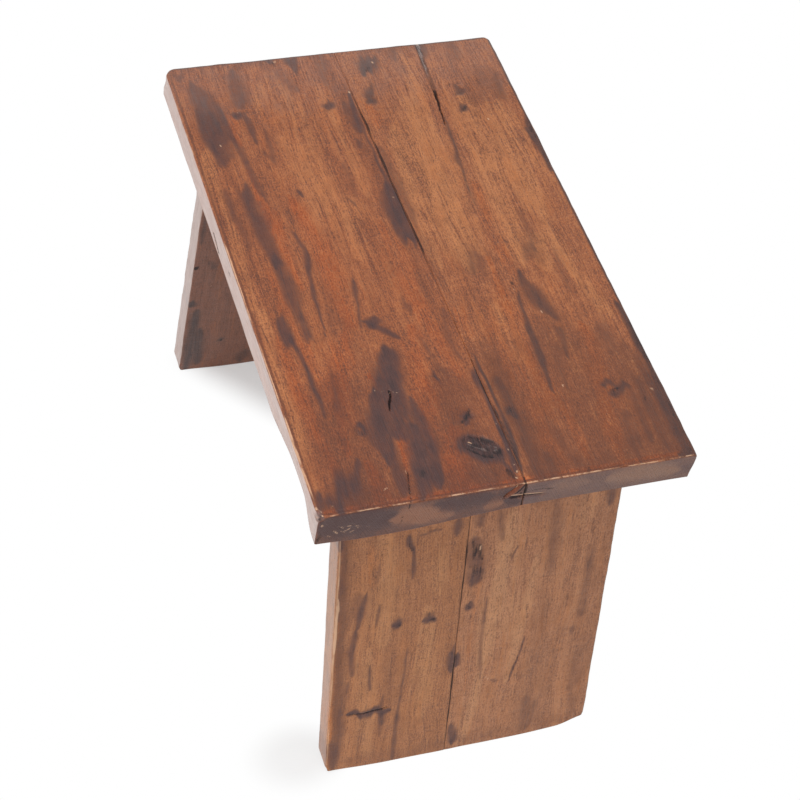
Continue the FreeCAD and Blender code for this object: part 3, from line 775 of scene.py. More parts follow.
# The top's back board
# The narrower board, glued to the front one edge to edge. A long drying check runs in from its
# left end, and an old repair has filled the start of it with putty that has gone grey.
back_strokes = {
    "stain": [
        ([(40, 66), (60, 70), (80, 76)], 8, 0.7), ([(88, 73), (108, 72)], 3, 0.45),
        ([(86, 104), (116, 102)], 7, 0.35), ([(104, 9), (150, 10.5), (192, 10.5), (206, 7)], 2.2, 0.9),
        ([(120, 20), (165, 20), (212, 19)], 5, 0.5), ([(149, 102), (147, 92), (146, 86)], 4.5, 0.8),
        ([(138, 124), (175, 122), (212, 119)], 6, 0.8), ([(148, 102), (192, 100)], 3.5, 0.45),
        ([(-214, 71), (-190, 69)], 3.5, 0.6), ([(-204, 32), (-190, 25), (-178, 17)], 6.5, 0.85),
        ([(-166, 20), (-152, 14)], 4.5, 0.75), ([(4, 81), (22, 76)], 5, 0.35),
        ([(12, 43), (32, 37)], 6, 0.4), ([(-28, 87), (14, 84)], 4, 0.35),
        ([(147, 21), (153, 17)], 3.2, 0.9), ([(-168, 114), (-136, 112)], 5, 0.4),
        ([(-160, 84), (-150, 83)], 3.4, 0.8), ([(-138, 84), (-128, 77)], 3.6, 0.8),
        ([(47, 57.5), (90, 54), (140, 51)], 2.4, 0.8), ([(-134, 63), (-90, 60), (-62, 58)], 1.8, 0.6),
        ([(-66, 57), (-30, 55.5)], 1.4, 0.45), ([(165, 92), (205, 88)], 5, 0.4),
        ([(140, 112), (205, 108)], 5, 0.4), ([(-110, 8), (-60, 9), (-20, 8)], 4, 0.35),
        ([(100, 66), (140, 62)], 4, 0.3), ([(-205, 95), (-180, 92)], 6, 0.35),
        ([(190, 30), (212, 26)], 6, 0.35), ([(20, 96), (60, 94)], 4, 0.3),
        ([(-212, 48), (-190, 45)], 4, 0.4), ([(168, 40), (200, 44)], 5, 0.3),
        ([(-106, 121), (-98, 121)], 3, 0.8), ([(-126, 124.5), (-100, 122.5), (-60, 123.5)], 2.8, 0.95),
        ([(76, 124.5), (120, 122.8), (150, 121.5), (180, 121.5), (208, 121)], 4.6, 0.95)],
    "tan": [
        ([(-136, 108), (-100, 105), (-20, 98)], 16, 0.55), ([(-150, 44), (-70, 38), (20, 34)], 20, 0.6),
        ([(-150, 82), (-80, 78), (20, 72)], 16, 0.55), ([(0, 90), (34, 86)], 9, 0.45),
        ([(-200, 55), (-150, 50)], 8, 0.4), ([(-120, 20), (-60, 16), (20, 12)], 8, 0.5),
        ([(-20, 100), (40, 104)], 8, 0.5), ([(40, 104), (80, 112)], 7, 0.4),
        ([(60, 38), (110, 40)], 9, 0.4)],
    "orange": [
        ([(50, 12), (90, 12)], 4, 0.5), ([(60, 32), (130, 35), (210, 37)], 9, 0.5),
        ([(90, 92), (130, 88), (200, 76)], 9, 0.6), ([(-60, 64), (0, 60), (40, 62)], 6, 0.6),
        ([(-150, 14), (-120, 12)], 4, 0.5), ([(20, 50), (80, 46), (200, 56)], 6, 0.6)],
    "shade": [
        ([(84, 70), (150, 70), (214, 70)], 42, 0.6), ([(110, 112), (170, 112), (214, 112)], 18, 0.75),
        ([(90, 20), (150, 22), (214, 24)], 16, 0.6), ([(-176, 112), (-150, 100), (-140, 90)], 14, 0.45),
        ([(-214, 110), (-206, 60), (-212, 12)], 7, 0.45), ([(100, 18), (150, 19), (214, 19)], 8, 0.6),
        ([(0, 46), (14, 38), (30, 32)], 9, 0.4), ([(-20, 8), (10, 8), (40, 9)], 6, 0.4),
        ([(202, 12), (203, 60), (202, 120)], 14, 0.6), ([(-10, 84), (30, 84)], 9, 0.3)],
    "spots": [([(207, 114), (208, 123)], 6, 0.9), ([(200, 121), (209, 120)], 4, 0.6)],
    "soot": [
        ([(148, 88), (147, 96)], 2.0, 0.8), ([(-136, 83), (-130, 79)], 2.2, 0.8),
        ([(-107, 122), (-100, 121)], 1.6, 0.6), ([(155, 110), (160, 108)], 1.6, 0.6),
        ([(176, 100), (180, 99)], 1.0, 0.5), ([(-190, 24), (-184, 21)], 3, 0.5),
        ([(205, 52), (211, 50)], 2.0, 0.6), ([(206, 82), (211, 80)], 2.0, 0.5),
        ([(41, 56.4), (45, 56.6)], 1.2, 0.8), ([(104, 8.0), (150, 9.1), (190, 9.6), (206, 8.6)], 1.5, 0.62),
        ([(-118, 123.6), (-96, 122.8), (-70, 123.6)], 2.2, 0.46),
        ([(92, 124), (130, 123), (152, 121.5), (176, 122.5), (206, 122)], 3.6, 0.52)],
    "wear": [
        ([(-196, 28), (-192, 29)], 1.1, 0.9), ([(47, 56.8), (49, 56.6)], 1.0, 0.9),
        ([(72, 67.8), (73, 67.6)], 0.9, 0.9), ([(137, 60), (139, 59)], 0.9, 0.8),
        ([(149, 116), (153, 118)], 0.9, 0.8), ([(-120, 95), (-119, 95)], 0.7, 0.7),
        ([(102, 79), (104, 79)], 0.7, 0.7)],
}
back_end_strokes = {
    "stain": [
        ([(9, 296), (20, 293)], 5, 0.7), ([(9, 304), (30, 306)], 4, 0.35),
        ([(118, 300), (124, 296)], 5, 0.5)],
    "tan": [([(66, 300), (90, 302), (114, 298)], 9, 0.75), ([(26, 304), (50, 301)], 6, 0.35)],
    "soot": [
        ([(9, 297.6), (22, 296.2)], 0.8, 1.0), ([(10, 301.2), (18, 302.2), (27, 301.0)], 0.6, 0.8),
        ([(12, 304.6), (24, 305.4)], 0.6, 0.6), ([(24, 300), (30, 301)], 0.9, 0.7),
        ([(9.6, 309), (9.8, 300)], 0.9, 0.8)],
    "wear": [([(8, 299.0), (22, 297.2)], 1.0, 1.2), ([(104, 303), (110, 300)], 0.4, 0.3)],
}
back_checks = [([(-156.0, 64.9), (-144.0, 64.0), (-133.0, 62.6), (-118.0, 61.2)], 1.9, 3.0)]
back_close_work = ([(-145.0, 18, 1.2), (204.0, 6, 0.6)], [(joint_middle, 3, 0.5), (64.0, 5, 0.6)])
board, marks = top_board(False, back_strokes, back_end_strokes, back_checks, 5, back_close_work)
putty_line = [(-212.0, 68.4), (-186.0, 65.9), (-158.0, 65.0)]
from_putty, along_putty = beside(board.flat, putty_line)
board.sink(UPPER, 0.5 * smooth_step(1.5, 0.6, from_putty))
lay(marks, "soot", 0.6 * smooth_step(3.4, 1.4, from_putty) * board.on(UPPER))
ragged_edge = from_putty + 0.5 * ripple(board.flat, (5, 1.5), 95)
putty = smooth_step(1.3, 0.4, ragged_edge) * smooth_step(0.9, 0.5, along_putty)
lay(marks, "grey", 0.72 * putty * board.on(UPPER))
torn(board)
elsewhere_in_log = np.array([313.0, 0, 4.0])
top_back_wood = waxed_wood("Stained wood of the back board", shade(152, 87, 51), shade(208, 138, 86),
                           shade(166, 80, 26), shade(88, 44, 24), shade(74, 46, 40), shade(110, 84, 80),
                           shade(150, 114, 96), (150, -60), 6.5)
back_board = board.made("back_board_of_the_top", top_back_wood, marks, board.points + elsewhere_in_log)
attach(back_board, "root")
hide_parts("top_back_board")

# The right leg
# A slab of two boards glued edge to edge, the nearer one in the photo. It leans outwards, stands
# in a shallow stopped housing under the top, and its sole is cut level with the floor.
INNER, OUTER = LEFT, RIGHT


def planed_leg_board(node, front, left_leg, checks, seed):
    """A board of a leg before it is painted and leans: its block, arrises, sole, stub and dips."""
    low, high = corner(node, 0), corner(node, 1)
    if left_leg:
        low, high = [-high[X], -high[Y], low[Z]], [-low[X], -low[Y], high[Z]]
    joint_y = high[Y] if front else low[Y]
    mesh_step = (2.2, 1.05, 2.0)
    close_to_checks = [(np.mean([up for up, across in line]), 5, 0.6) for line, width, depth in checks]
    board = Plank([-leg_through, low[Y], 0.0], [0.0, high[Y], leg_head], mesh_step,
                  [[], [(joint_y, 3, 0.6)], [(top_low[Z], 0.2, 0.4)] + close_to_checks])
    board.joint_y = joint_y
    board.long_side = FRONT if front else BACK
    board.seen_face = INNER if left_leg else OUTER
    block = board.block
    y, z = block[:, Y], block[:, Z]
    at_joint = (y > high[Y] - joint_reach) if front else (y < low[Y] + joint_reach)
    kept_straight = 6
    head = board.head = z > top_low[Z] - kept_straight

    # Worn arrises, and rounded corners at the foot
    wear = board.wear = ripple(block, (30, 30, 24), seed) + 0.6 * ripple(block, (9, 9, 6), seed + 1)
    foot_radius = 5.0 * smooth_step(60, 20, z) + 0.3
    most_handled = front and not left_leg
    face_radius = np.where(at_joint, 0.35, (3.0 if most_handled else 2.2) + 0.7 * wear)
    board.ease(X, np.clip(np.where(at_joint | head, 0.4, foot_radius), 0.3, 16))
    board.ease(Z, np.clip(np.where(head, 0.4, face_radius), 0.3, 5.0))
    board.ease(Y, np.clip(np.where(head, 0.2, 0.9 + 0.4 * wear), 0.2, 3.0))

    # The sole bears on its middle: its ends are worn off the floor, most at the right leg's back
    end_lift, corner_lift, corner_length = 2.4, 5.0, 24
    middle = (right_leg_low_y + right_leg_high_y) / 2
    lift = end_lift * smooth_step(40, 100, np.abs(board.points[:, Y] - middle)) ** 1.5
    if not left_leg and not front:
        lift = lift + corner_lift * smooth_step(corner_length, 0, high[Y] - board.points[:, Y]) ** 1.2
    board.points[:, Z] += lift * smooth_step(30, 0, z)

    # The stub in the housing is narrower than the leg, by the housing's shoulder
    stub = z > top_low[Z] + 0.05
    shoulder = right_leg_low_y + housing_shoulder if front else right_leg_high_y - housing_shoulder
    beyond = board.points[:, Y] < shoulder if front else board.points[:, Y] > shoulder
    drawn_in = shoulder + 0.005 * (board.points[:, Y] - shoulder)
    board.points[:, Y] = np.where(stub & beyond, drawn_in, board.points[:, Y])

    # Dips left by the hand plane
    dip = 0.14 + 0.12 * ripple(block, (300, 26, 70), seed + 2) + 0.06 * ripple(block, (300, 8, 26), seed + 3)
    board.sink(INNER, dip * ~head)
    board.sink(OUTER, dip * ~head)
    board.sink(board.long_side, (0.3 + 0.2 * ripple(block, (7, 18, 18), seed + 4)) * ~head)
    board.face = board.points[:, [Z, Y]].copy()
    return board


def painted_leg_board(board, left_leg, strokes, seed, painted_side_sheen):
    """The marks on a board of a leg: its strokes, what wear and dirt have left all along it, and a painted
    pale sheen on its long side.
    """
    block, face, seen, arris = board.block, board.face, board.on(board.seen_face), board.arris_distance()
    marks = {mark: brushed(face, strokes[mark], seed + 20 + 4 * i, (2.5, 0.7))
             for i, mark in enumerate(("stain", "tan", "orange", "shade"))}
    marks["soot"] = brushed(face, strokes["soot"], seed + 31, (0.5, 0.3)) * seen

    # Dirt in the joint of the two boards, which has opened a little
    seam_gap = np.abs(face[:, 1] - board.joint_y)
    opening = 0.55 + 0.35 * ripple(block, (400, 400, 16), seed + 60)
    board.sink(OUTER, 0.9 * opening * np.clip(1 - seam_gap / 0.8, 0, 1) * ~board.head)
    lay(marks, "soot", (0.45 + 0.6 * opening) * smooth_step(1.2, 0.3, seam_gap / (0.5 + 0.5 * opening)))

    # Pale wood on the rubbed arrises of the right leg, a painted pale sheen on the long side, and end grain
    marks["wear"] = 0.75 * smooth_step(1.7, 0.6, arris) * smooth_step(-0.1, 0.9, board.wear)
    marks["wear"] *= (seam_gap >= 1.5) & (not left_leg)
    lay(marks, "wear", brushed(face, strokes["wear"], seed + 41, (0.8, 0.4)) * seen)
    # Painted sheen: the long side is laid pale
    marks["grey"] = painted_side_sheen * board.on(board.long_side) * smooth_step(0.3, 1.4, arris)
    marks["end_grain"] = (board.on(UNDER) | board.on(UPPER)) * smooth_step(0.3, 1.6, arris)
    return marks


def cracked_by_drying(board, marks, checks, seed):
    """Drying checks in a leg, black inside and closing at both ends."""
    face = board.face
    for line, width, depth in checks:
        distance, share = beside(face + 0.25 * np.stack([ripple(face, (4, 4), seed + 50)] * 2, 1), line)
        open_width = width / 2 * np.sqrt(np.clip(4 * share * (1 - share), 0.02, 1))
        board.sink(OUTER, depth * np.clip(1.25 - distance / open_width, 0, 1))
        black = smooth_step(1.8, 0.7, distance / open_width) * min(0.2 + depth, 1)
        lay(marks, "soot", black * board.on(board.seen_face))


def leg_board(node, name, wood, front, strokes, checks, seed, painted_side_sheen, left_leg=False):
    """One board of a leg, built for the right-hand side, leant, and given half a turn for the left."""
    board = planed_leg_board(node, front, left_leg, checks, seed)
    marks = painted_leg_board(board, left_leg, strokes, seed, painted_side_sheen)
    cracked_by_drying(board, marks, checks, seed)
    grain = board.points[:, [Z, Y, X]] + np.array([seed * 97.0, 0, seed * 3.0])
    board.points[:, X] += face_at_top + leg_slope * (top_low[Z] - board.points[:, Z])
    if left_leg:
        board.points[:, :2] *= -1
    return board.made(name, wood, marks, grain)


# Strokes on a leg in mm: height and y along the line, then half its width and its strength
near_front_strokes = {
    "stain": [
        ([(216, -44), (207, -42), (202, -39)], 2.2, 0.9), ([(206, -39), (192, -38), (178, -38)], 1.8, 0.65),
        ([(174, -70), (158, -73), (140, -75)], 2.6, 0.7), ([(172, -74), (150, -76)], 9, 0.4),
        ([(140, -76), (118, -78), (96, -76)], 3.0, 0.65), ([(92, -78), (76, -81), (60, -82)], 2.6, 0.5),
        ([(116, -37), (90, -37.5), (60, -39)], 1.2, 0.5), ([(66, -39), (36, -40.5), (2, -41)], 2.0, 0.6),
        ([(137.5, -50), (137.2, -43)], 3.4, 1.05), ([(143, -45), (138, -45)], 5, 0.5),
        ([(137.4, -28), (136.8, -18)], 3.2, 1.05), ([(144, -24), (138, -22)], 5, 0.5),
        ([(58, -78), (56, -62), (57, -46)], 4.2, 1.0), ([(54, -52), (44, -51)], 3, 0.5),
        ([(101, -4), (93, -3.5), (82, -2.5)], 4.2, 0.9), ([(108, -2), (100, -3)], 3, 0.6),
        ([(232, -89), (205, -89), (150, -89)], 2.6, 0.5), ([(64, -84), (40, -82), (8, -84)], 4, 0.4),
        ([(219, -38), (218, -29), (219, -20)], 1.4, 0.7), ([(228, -9), (212, -9)], 4, 0.7),
        ([(232, -92), (215, -91)], 4, 0.6), ([(30, -90), (4, -86)], 6, 0.5),
        ([(104, -64), (80, -62)], 1.6, 0.6), ([(75, -52), (60, -54), (30, -52)], 2, 0.5),
        ([(160, -60), (140, -61)], 1.4, 0.5), ([(200, -62), (180, -63)], 2, 0.4)],
    "tan": [
        ([(225, -60), (180, -58), (120, -56)], 12, 0.55), ([(150, -25), (100, -22), (40, -20)], 10, 0.6),
        ([(120, -65), (60, -66), (10, -60)], 8, 0.5), ([(200, -20), (160, -18)], 6, 0.5),
        ([(232, -90.3), (120, -90.1), (24, -90.3)], 2.2, 0.95)],
    "orange": [([(230, -88), (150, -88), (10, -89)], 3.0, 0.8), ([(215, -68), (180, -66)], 8, 0.4)],
    "shade": [
        ([(232, -84), (120, -86), (4, -87)], 5, 0.5), ([(234, -86.4), (120, -86.6), (4, -86.8)], 3.6, 0.95),
        # The first stroke on this line is painted shade, just under the top
        ([(236, -80), (232, -40), (236, -4)], 7, 0.5), ([(10, -80), (6, -40), (8, -2)], 8, 0.35),
        ([(120, -50), (60, -46)], 8, 0.25)],
    "soot": [
        ([(58, -75), (56, -66), (57.5, -58), (56.6, -50)], 1.1, 0.7),
        ([(212, -43), (207, -42), (204, -39.5)], 1.0, 0.8), ([(137, -47), (137, -43)], 1.6, 0.4),
        ([(137, -23), (136.6, -18)], 2.0, 0.7), ([(92, -4), (86, -3)], 1.8, 0.5),
        ([(101, -3), (98, -4)], 1.0, 0.5)],
    "wear": [
        ([(172, -89.6), (166, -89.4), (154, -90), (120, -90.4)], 0.9, 1.0),
        ([(166, -90), (160, -89)], 1.2, 0.6),
        ([(232, -90.4), (150, -90.3), (60, -90.6), (6, -90.6)], 0.9, 0.6)],
}
near_back_strokes = {
    "stain": [
        ([(206, 4), (192, 6), (176, 7), (162, 6)], 8, 0.6), ([(176, 9), (164, 8)], 5, 0.5),
        ([(146, 6), (139, 6)], 3.6, 1.0), ([(98, 1), (84, 0.5)], 3.4, 0.9),
        ([(103, 51), (80, 47), (56, 42.5)], 0.9, 0.8), ([(180, 90), (150, 93), (112, 92)], 5, 0.34),
        ([(106, 87), (98, 87)], 2.6, 0.5), ([(28, 2), (18, 3.4), (6, 4)], 4.2, 0.95),
        ([(190, 36), (184, 33), (180, 33)], 1.4, 0.7), ([(240, 60), (200, 62), (160, 64)], 5, 0.35),
        ([(84, 95), (50, 96), (8, 97)], 5, 0.22), ([(240, 100), (215, 100)], 4, 0.7),
        ([(40, 60), (10, 62)], 9, 0.35), ([(232, 8), (216, 6)], 5, 0.6), ([(230, 20), (200, 24)], 3, 0.35),
        ([(66, 28), (62, 34)], 1.4, 0.5), ([(150, 18), (110, 17), (70, 20)], 2, 0.5),
        ([(64, 46), (62, 56)], 1.2, 0.4)],
    "tan": [
        ([(225, 30), (150, 26), (80, 20)], 11, 0.8), ([(76, 20), (40, 16), (5, 10)], 6, 0.8),
        ([(180, 52), (120, 48), (60, 40)], 5, 0.6), ([(240, 85), (200, 84)], 8, 0.5),
        ([(150, 40), (100, 42)], 8, 0.5)],
    "orange": [([(240, 12), (150, 10), (60, 9)], 3, 0.4)],
    "shade": [
        # The first stroke on this line is painted shade, just under the top
        ([(236, 4), (232, 50), (236, 100)], 6, 0.5), ([(236, 102), (120, 102), (8, 104)], 4, 0.35),
        ([(10, 4), (6, 50), (10, 104)], 8, 0.35), ([(140, 60), (60, 66), (8, 60)], 14, 0.3),
        ([(120, 92), (40, 94)], 10, 0.3)],
    "soot": [
        ([(203, 3), (194, 5), (186, 4)], 2.6, 0.7), ([(200, 8), (192, 9), (184, 11)], 3.0, 0.65),
        ([(182, 6), (170, 8)], 3.4, 0.6), ([(144, 5.4), (140, 5.6)], 2.0, 0.7),
        ([(99, 0), (85, 0)], 1.4, 0.6), ([(178, 11), (166, 12)], 1.6, 0.5),
        ([(160, 4), (150, 3.4)], 1.0, 0.6), ([(132, 5), (120, 6)], 0.8, 0.4)],
    "wear": [
        ([(197, 8.4), (193, 8.8)], 0.9, 1.2), ([(69, 24), (67, 27)], 0.8, 1.1),
        ([(115, 80), (114, 80)], 0.8, 0.9)],
}
near_front_checks = [([(57.4, -76), (56, -66), (57.2, -56), (57.8, -49)], 1.0, 0.9)]
near_back_checks = [([(102, 50.6), (80, 46.8), (60, 43)], 0.5, 0.4)]
leg_orange, leg_deep, leg_dark = shade(196, 116, 58), shade(112, 68, 46), shade(88, 56, 54)
leg_end, leg_end_light = shade(92, 66, 56), shade(140, 100, 78)
right_front_wood = waxed_wood("Stained wood of the right leg, front board", shade(176, 114, 72),
                              shade(206, 146, 98), leg_orange, leg_deep, leg_dark, leg_end, leg_end_light,
                              (-160, 60), 7.0, 0.42, 0.95)
right_front_board = leg_board("right_leg_front_board", "front_board_of_the_right_leg", right_front_wood, True,
                              near_front_strokes, near_front_checks, 7, 0.35)
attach(right_front_board, "root")
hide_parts("right_leg_front_board")
right_back_wood = waxed_wood("Stained wood of the right leg, back board", shade(182, 122, 84),
                             shade(210, 152, 108), leg_orange, leg_deep, leg_dark, leg_end, leg_end_light,
                             (170, 80), 7.5, 0.42, 0.85)
right_back_board = leg_board("right_leg_back_board", "back_board_of_the_right_leg", right_back_wood, False,
                             near_back_strokes, near_back_checks, 8, 0.2)
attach(right_back_board, "root")
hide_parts("right_leg_back_board")

# The left leg
# The same slab as the right leg, given half a turn. Its colours are a darker copy of the right leg's:
# painted shade, where little light reaches it.
far_strokes = {
    "stain": [
        ([(230, -70), (150, -64), (60, -66)], 8, 0.6), ([(120, -30), (60, -26), (10, -24)], 7, 0.6),
        ([(200, -20), (170, -16)], 6, 0.5), ([(90, -84), (20, -86)], 7, 0.5),
        ([(205, 60), (140, 66), (90, 62)], 7, 0.6), ([(80, 30), (30, 34)], 6, 0.5),
        ([(104, 104), (96, 106)], 5, 0.9), ([(90, 100), (40, 101), (4, 102)], 6, 0.8),
        ([(60, 95), (10, 92)], 5, 0.7), ([(20, 52), (4, 56)], 7, 0.6), ([(44, 76), (40, 75)], 4, 0.7),
        ([(156, 96), (148, 90)], 5, 0.5), ([(230, 104), (180, 104)], 3, 0.5)],
    "tan": [([(200, -45), (120, -44), (40, -48)], 9, 0.4), ([(200, 30), (120, 26), (40, 20)], 10, 0.4)],
    "orange": [([(230, -92), (150, -92), (60, -93)], 3, 0.8)],
    "shade": [([(236, -60), (150, -62), (10, -66)], 20, 0.3)],
    "soot": [
        ([(151.6, 106.6), (149.6, 104.8)], 3.2, 1.4), ([(42.4, 76), (41, 75)], 1.8, 0.9),
        ([(100, 105), (97, 106)], 3, 0.5)],
    "wear": [
        ([(42.6, 75.2), (42.2, 75)], 0.6, 0.8), ([(86, 92), (85, 92)], 0.6, 0.7),
        ([(124, 91), (122, 91)], 0.4, 0.5)],
}
for node, name, front, seed, pith, painted_side_sheen in (
        ("left_leg_front_board", "front_board_of_the_left_leg", False, 9, (-150, 70), 0.8),
        ("left_leg_back_board", "back_board_of_the_left_leg", True, 10, (160, 60), 0.2)):
    # Colours darker than the right leg's: painted shade
    far_wood_in_painted_shade = waxed_wood("Stained wood of " + name.replace("_", " "), shade(130, 81, 60),
                          shade(150, 100, 72), shade(158, 88, 44), shade(78, 44, 30), shade(62, 40, 38),
                          leg_end, leg_end_light, pith, 7.0, 0.44, 0.6)
    far_board = leg_board(node, name, far_wood_in_painted_shade, front, far_strokes, [], seed, painted_side_sheen, left_leg=True)
    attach(far_board, "root")
    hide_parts(node)

# The dowels
# Beech pegs with chamfered ends, glued into both boards across each of the three edge joints.
# They are hidden in the wood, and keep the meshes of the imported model.


def mottled(name, lumps, detail, under, over, share, rough, bump, metal=None):
    """Two tones in lumps. Share, rough and metal are (swing, middle), and bump is (strength, depth)."""
    material = bpy.data.materials.new(name)
    start = emptied(material)
    lump = start.node("TexCoord", {}, {}, "Object").swell(lumps, detail)
    varied = {"Roughness": rough, "Metallic": metal} if metal else {"Roughness": rough}
    looks = {socket: (lump * swing + middle).held() for socket, (swing, middle) in varied.items()}
    looks["Base Color"] = laid(start, under, over, (lump * share[0] + share[1]).held())
    looks["Normal"] = start.node("Bump", {}, {"Strength": bump[0], "Distance": bump[1], "Height": lump})
    finish = start.node("BsdfPrincipled", {}, looks)
    start.node("OutputMaterial", {}, {"Surface": finish})
    return material


peg_wood = mottled("Beech peg", (0.0008, 0.018, 0.0008), 3.0, shade(206, 172, 128), shade(176, 138, 96),
                   (0.5, 0.4), (0.05, 0.6), (0.4, 0.0001))
for node in ("top_joint_dowels", "right_leg_joint_dowels", "left_leg_joint_dowels"):
    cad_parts[node].material_slots[0].material = peg_wood

# The nails
# Square cut iron nails, driven through the top into the head of each leg, two in each board.
# Their heads are punched under the surface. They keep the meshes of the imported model.
old_iron = mottled("Old nail iron", (0.004, 0.004, 0.006), 5.0, shade(62, 58, 56), shade(110, 62, 38),
                   (0.6, 0.4), (0.2, 0.6), (0.6, 0.0002), metal=(-0.4, 0.6))
for node in ("right_leg_nails", "left_leg_nails"):
    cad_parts[node].material_slots[0].material = old_iron

# The nail fillings
# Dark wax filler thumbed into the hole over each nail. It has sunk a little and its edge is
# ragged, so that from above each nail is an uneven dark spot.
filler_across, filler_deep, filler_uneven, filler_sunk = 0.0028, 0.0009, 0.0006, 0.0009
filler_wax = mottled("Dark wax filler", (0.0016, 0.0010, 0.0016), 3.0, shade(50, 36, 36), shade(92, 64, 56),
                     (0.5, 0.4), (0.12, 0.55), (0.7, 0.0003))

filler_tree = bpy.data.node_groups.new("Filler in nail holes", "GeometryNodeTree")
inputs = {}
for name, kind in (("Holes", "Geometry"), ("Across", "Float"), ("Depth", "Float"), ("Unevenness", "Float"),
                   ("Seed", "Int"), ("Filler", "Material")):
    socket = filler_tree.interface.new_socket(name, in_out="INPUT", socket_type="NodeSocket" + kind)
    inputs[name] = socket.identifier
filler_tree.interface.new_socket("Fillings", in_out="OUTPUT", socket_type="NodeSocketGeometry")
entry = filler_tree.nodes.new("NodeGroupInput")
given = {name: Strand(filler_tree, entry.outputs[name]) for name in inputs}
start = Strand(filler_tree)
lump = start.node("GeometryNodeMeshIcoSphere", {}, {"Radius": 1.0, "Subdivisions": 5})
turn = start.node("FunctionNodeRandomValue", {}, {2: 0.0, 3: 2 * math.pi, 8: given["Seed"]}, 1)
stretch = start.node("FunctionNodeRandomValue", {"data_type": "FLOAT_VECTOR"},
                     {0: (0.9, 0.65, 1.0), 1: (1.3, 0.9, 1.0), 8: given["Seed"]})
flat_lump = stretch * start.node("CombineXYZ", {}, {0: given["Across"], 1: given["Across"],
                                                    2: given["Depth"]})
lumps = start.node("GeometryNodeInstanceOnPoints", {}, {
    "Points": given["Holes"], "Instance": lump, "Scale": flat_lump,
    "Rotation": start.node("CombineXYZ", {}, {2: turn})})
lumps = start.node("GeometryNodeRealizeInstances", {}, {"Geometry": lumps})
spot = start.node("GeometryNodeInputPosition", {}, {})
swell = spot.swell((0.0022, 0.0022, 0.0022), 3.0) * given["Unevenness"]
push = start.node("VectorMath", {"operation": "SCALE"}, {
    0: start.node("GeometryNodeInputNormal", {}, {}), "Scale": swell})
lumps = start.node("GeometryNodeSetPosition", {}, {"Geometry": lumps, "Offset": push})
lumps = start.node("GeometryNodeSetShadeSmooth", {}, {"Geometry": lumps})
lumps = start.node("GeometryNodeSetMaterial", {}, {"Geometry": lumps, "Material": given["Filler"]})
leaving = filler_tree.nodes.new("NodeGroupOutput")
filler_tree.links.new(lumps.socket, leaving.inputs[0])

for node, name, seed in (("right_nail_fillings", "filler_over_the_right_nails", 3),
                         ("left_nail_fillings", "filler_over_the_left_nails", 8)):
    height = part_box(node)[1].z - (filler_deep + filler_sunk)
    holes = bpy.data.meshes.new(name)
    holes.from_pydata([(x * MM, y * MM, height) for x, y in nail_marks(node)], [], [])
    source = set_down(name + "_holes", holes)
    maker = source.modifiers.new("Filler", "NODES")
    maker.node_group = filler_tree
    for key, value in (("Across", filler_across), ("Depth", filler_deep), ("Unevenness", filler_uneven),
                       ("Seed", seed), ("Filler", filler_wax)):
        maker[inputs[key]] = value
    made = source.evaluated_get(bpy.context.evaluated_depsgraph_get())
    filler_mesh = bpy.data.meshes.new_from_object(made)
    bpy.data.objects.remove(source)
    filler = set_down(name, filler_mesh)
    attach(filler, "root")
    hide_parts(node)

# The studio
# A pale floor in a white studio, lit softly by two broad lamps, from above and from the front.
# The camera sees the floor as pure white but for the shadow under the stool and beside its foot.
floor_half = 3.0
floor_mesh = bpy.data.meshes.new("Floor")
floor_corners = [(x * floor_half, y * floor_half, 0) for x, y in ((-1, -1), (1, -1), (1, 1), (-1, 1))]
floor_mesh.from_pydata(floor_corners, [], [(0, 1, 2, 3)])
floor = set_down("Floor", floor_mesh)


def greatest(first, second):
    """The greater of two strands."""
    return first.worked_out("MAXIMUM", first, second)


def seen_rays(start):
    """1 for the rays that show the background: camera, glossy and transmission rays."""
    camera_ray, glossy_ray, clear_ray = [start.node("LightPath", {}, {}, name) for name in (
        "Is Camera Ray", "Is Glossy Ray", "Is Transmission Ray")]
    return greatest(greatest(camera_ray, glossy_ray), clear_ray)


def spread_about(place, middle, reach):
    """Distance from a place on the floor, as a share of its reach on each axis."""
    return place.node("VectorMath", {"operation": "LENGTH"}, {0: (place - middle) / reach}, "Value")


floor_material = bpy.data.materials.new("Pale floor")
start = emptied(floor_material)
matt = start.node("BsdfDiffuse", {}, {"Color": (0.80, 0.80, 0.80, 1)})
white = start.node("Emission", {}, {"Color": (1, 1, 1, 1), "Strength": 1.0})
place = start.node("TexCoord", {}, {}, "Object")
far_foot, away_from_light = (-0.1885, -0.1079, 0), (-0.672, 0.741, 0)
near_foot = spread_about(place, (0.19, -0.108, 0), (0.035, 0.045, 1))
past_far_foot = start.node("VectorMath", {"operation": "DOT_PRODUCT"},
                           {0: place - far_foot, 1: away_from_light}, "Value")
about_far_leg = spread_about(place, (-0.150, -0.045, 0), (0.09, 0.10, 1))
under_stool = past_far_foot.step(-0.006, 0.030) * (1.0 - about_far_leg.step(0.5, 1.0)) * 0.66
beside_foot = 0.4 - near_foot.step(0.25, 1.0) * 0.4
shadow_kept = greatest(under_stool, beside_foot)
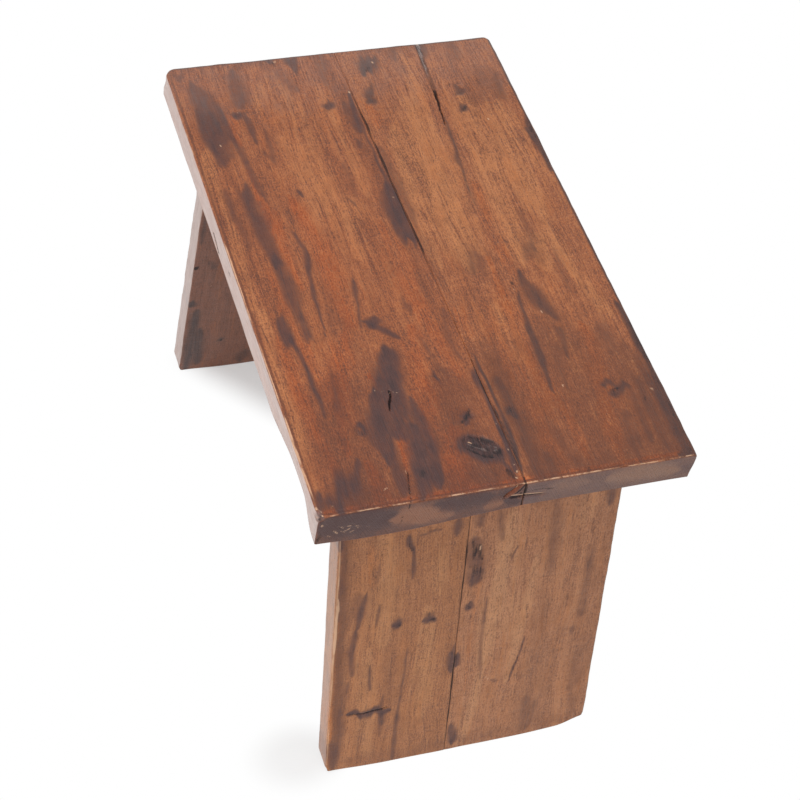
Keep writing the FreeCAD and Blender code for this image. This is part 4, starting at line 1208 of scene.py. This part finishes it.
look = start.node("MixShader", {}, {0: seen_rays(start) * (1.0 - shadow_kept), 1: matt, 2: white})
start.node("OutputMaterial", {}, {"Surface": look})
floor_mesh.materials.append(floor_material)

world = bpy.data.worlds.new("Studio")
bpy.context.scene.world = world
start = emptied(world)
surround = start.node("Background", {}, {"Color": (1, 1, 1, 1), "Strength": 0.45 + seen_rays(start) * 0.55})
start.node("OutputWorld", {}, {"Surface": surround})


def soft_lamp(name, position, size, power):
    """A square lamp that looks at the middle of the stool."""
    lamp = bpy.data.lights.new(name, "AREA")
    lamp.shape = "SQUARE"
    lamp.size = size
    lamp.energy = power
    holder = set_down(name, lamp)
    holder.location = position
    holder.rotation_euler = (Vector((0, 0, 0.15)) - Vector(position)).to_track_quat("-Z", "Y").to_euler()


soft_lamp("Overhead lamp", (0.2, -0.6, 2.2), 1.4, 26)
soft_lamp("Front lamp", (1.6, -1.9, 1.1), 1.2, 18)

# The camera
# The photo looks down on the near leg's end from the front right, with a long lens held askew.
# Its place was fitted to the corners and edges of the stool in the photo.
camera_target = np.array([-1.30, 10.78, 150.0]) * MM
camera_distance = 1.5075
camera_turn, camera_lift, camera_roll = math.radians(65.40), math.radians(48.20), math.radians(10.12)
camera_lens, sensor_width = 91.84, 36.0
back = np.array([math.sin(camera_turn) * math.cos(camera_lift),
                 -math.cos(camera_turn) * math.cos(camera_lift), math.sin(camera_lift)])
level = np.array([math.cos(camera_turn), math.sin(camera_turn), 0])
upright = np.cross(level, -back)
right = math.cos(camera_roll) * level + math.sin(camera_roll) * upright
up = -math.sin(camera_roll) * level + math.cos(camera_roll) * upright
camera_data = bpy.data.cameras.new("Camera")
camera_data.lens = camera_lens
camera_data.sensor_width = sensor_width
camera_data.dof.use_dof = False
camera = set_down("Camera", camera_data)
spot = camera_target + back * camera_distance
camera.matrix_world = Matrix(np.column_stack([right, up, back, spot]).tolist() + [[0, 0, 0, 1]])
bpy.context.scene.camera = camera
bpy.context.scene.view_settings.view_transform = "Standard"
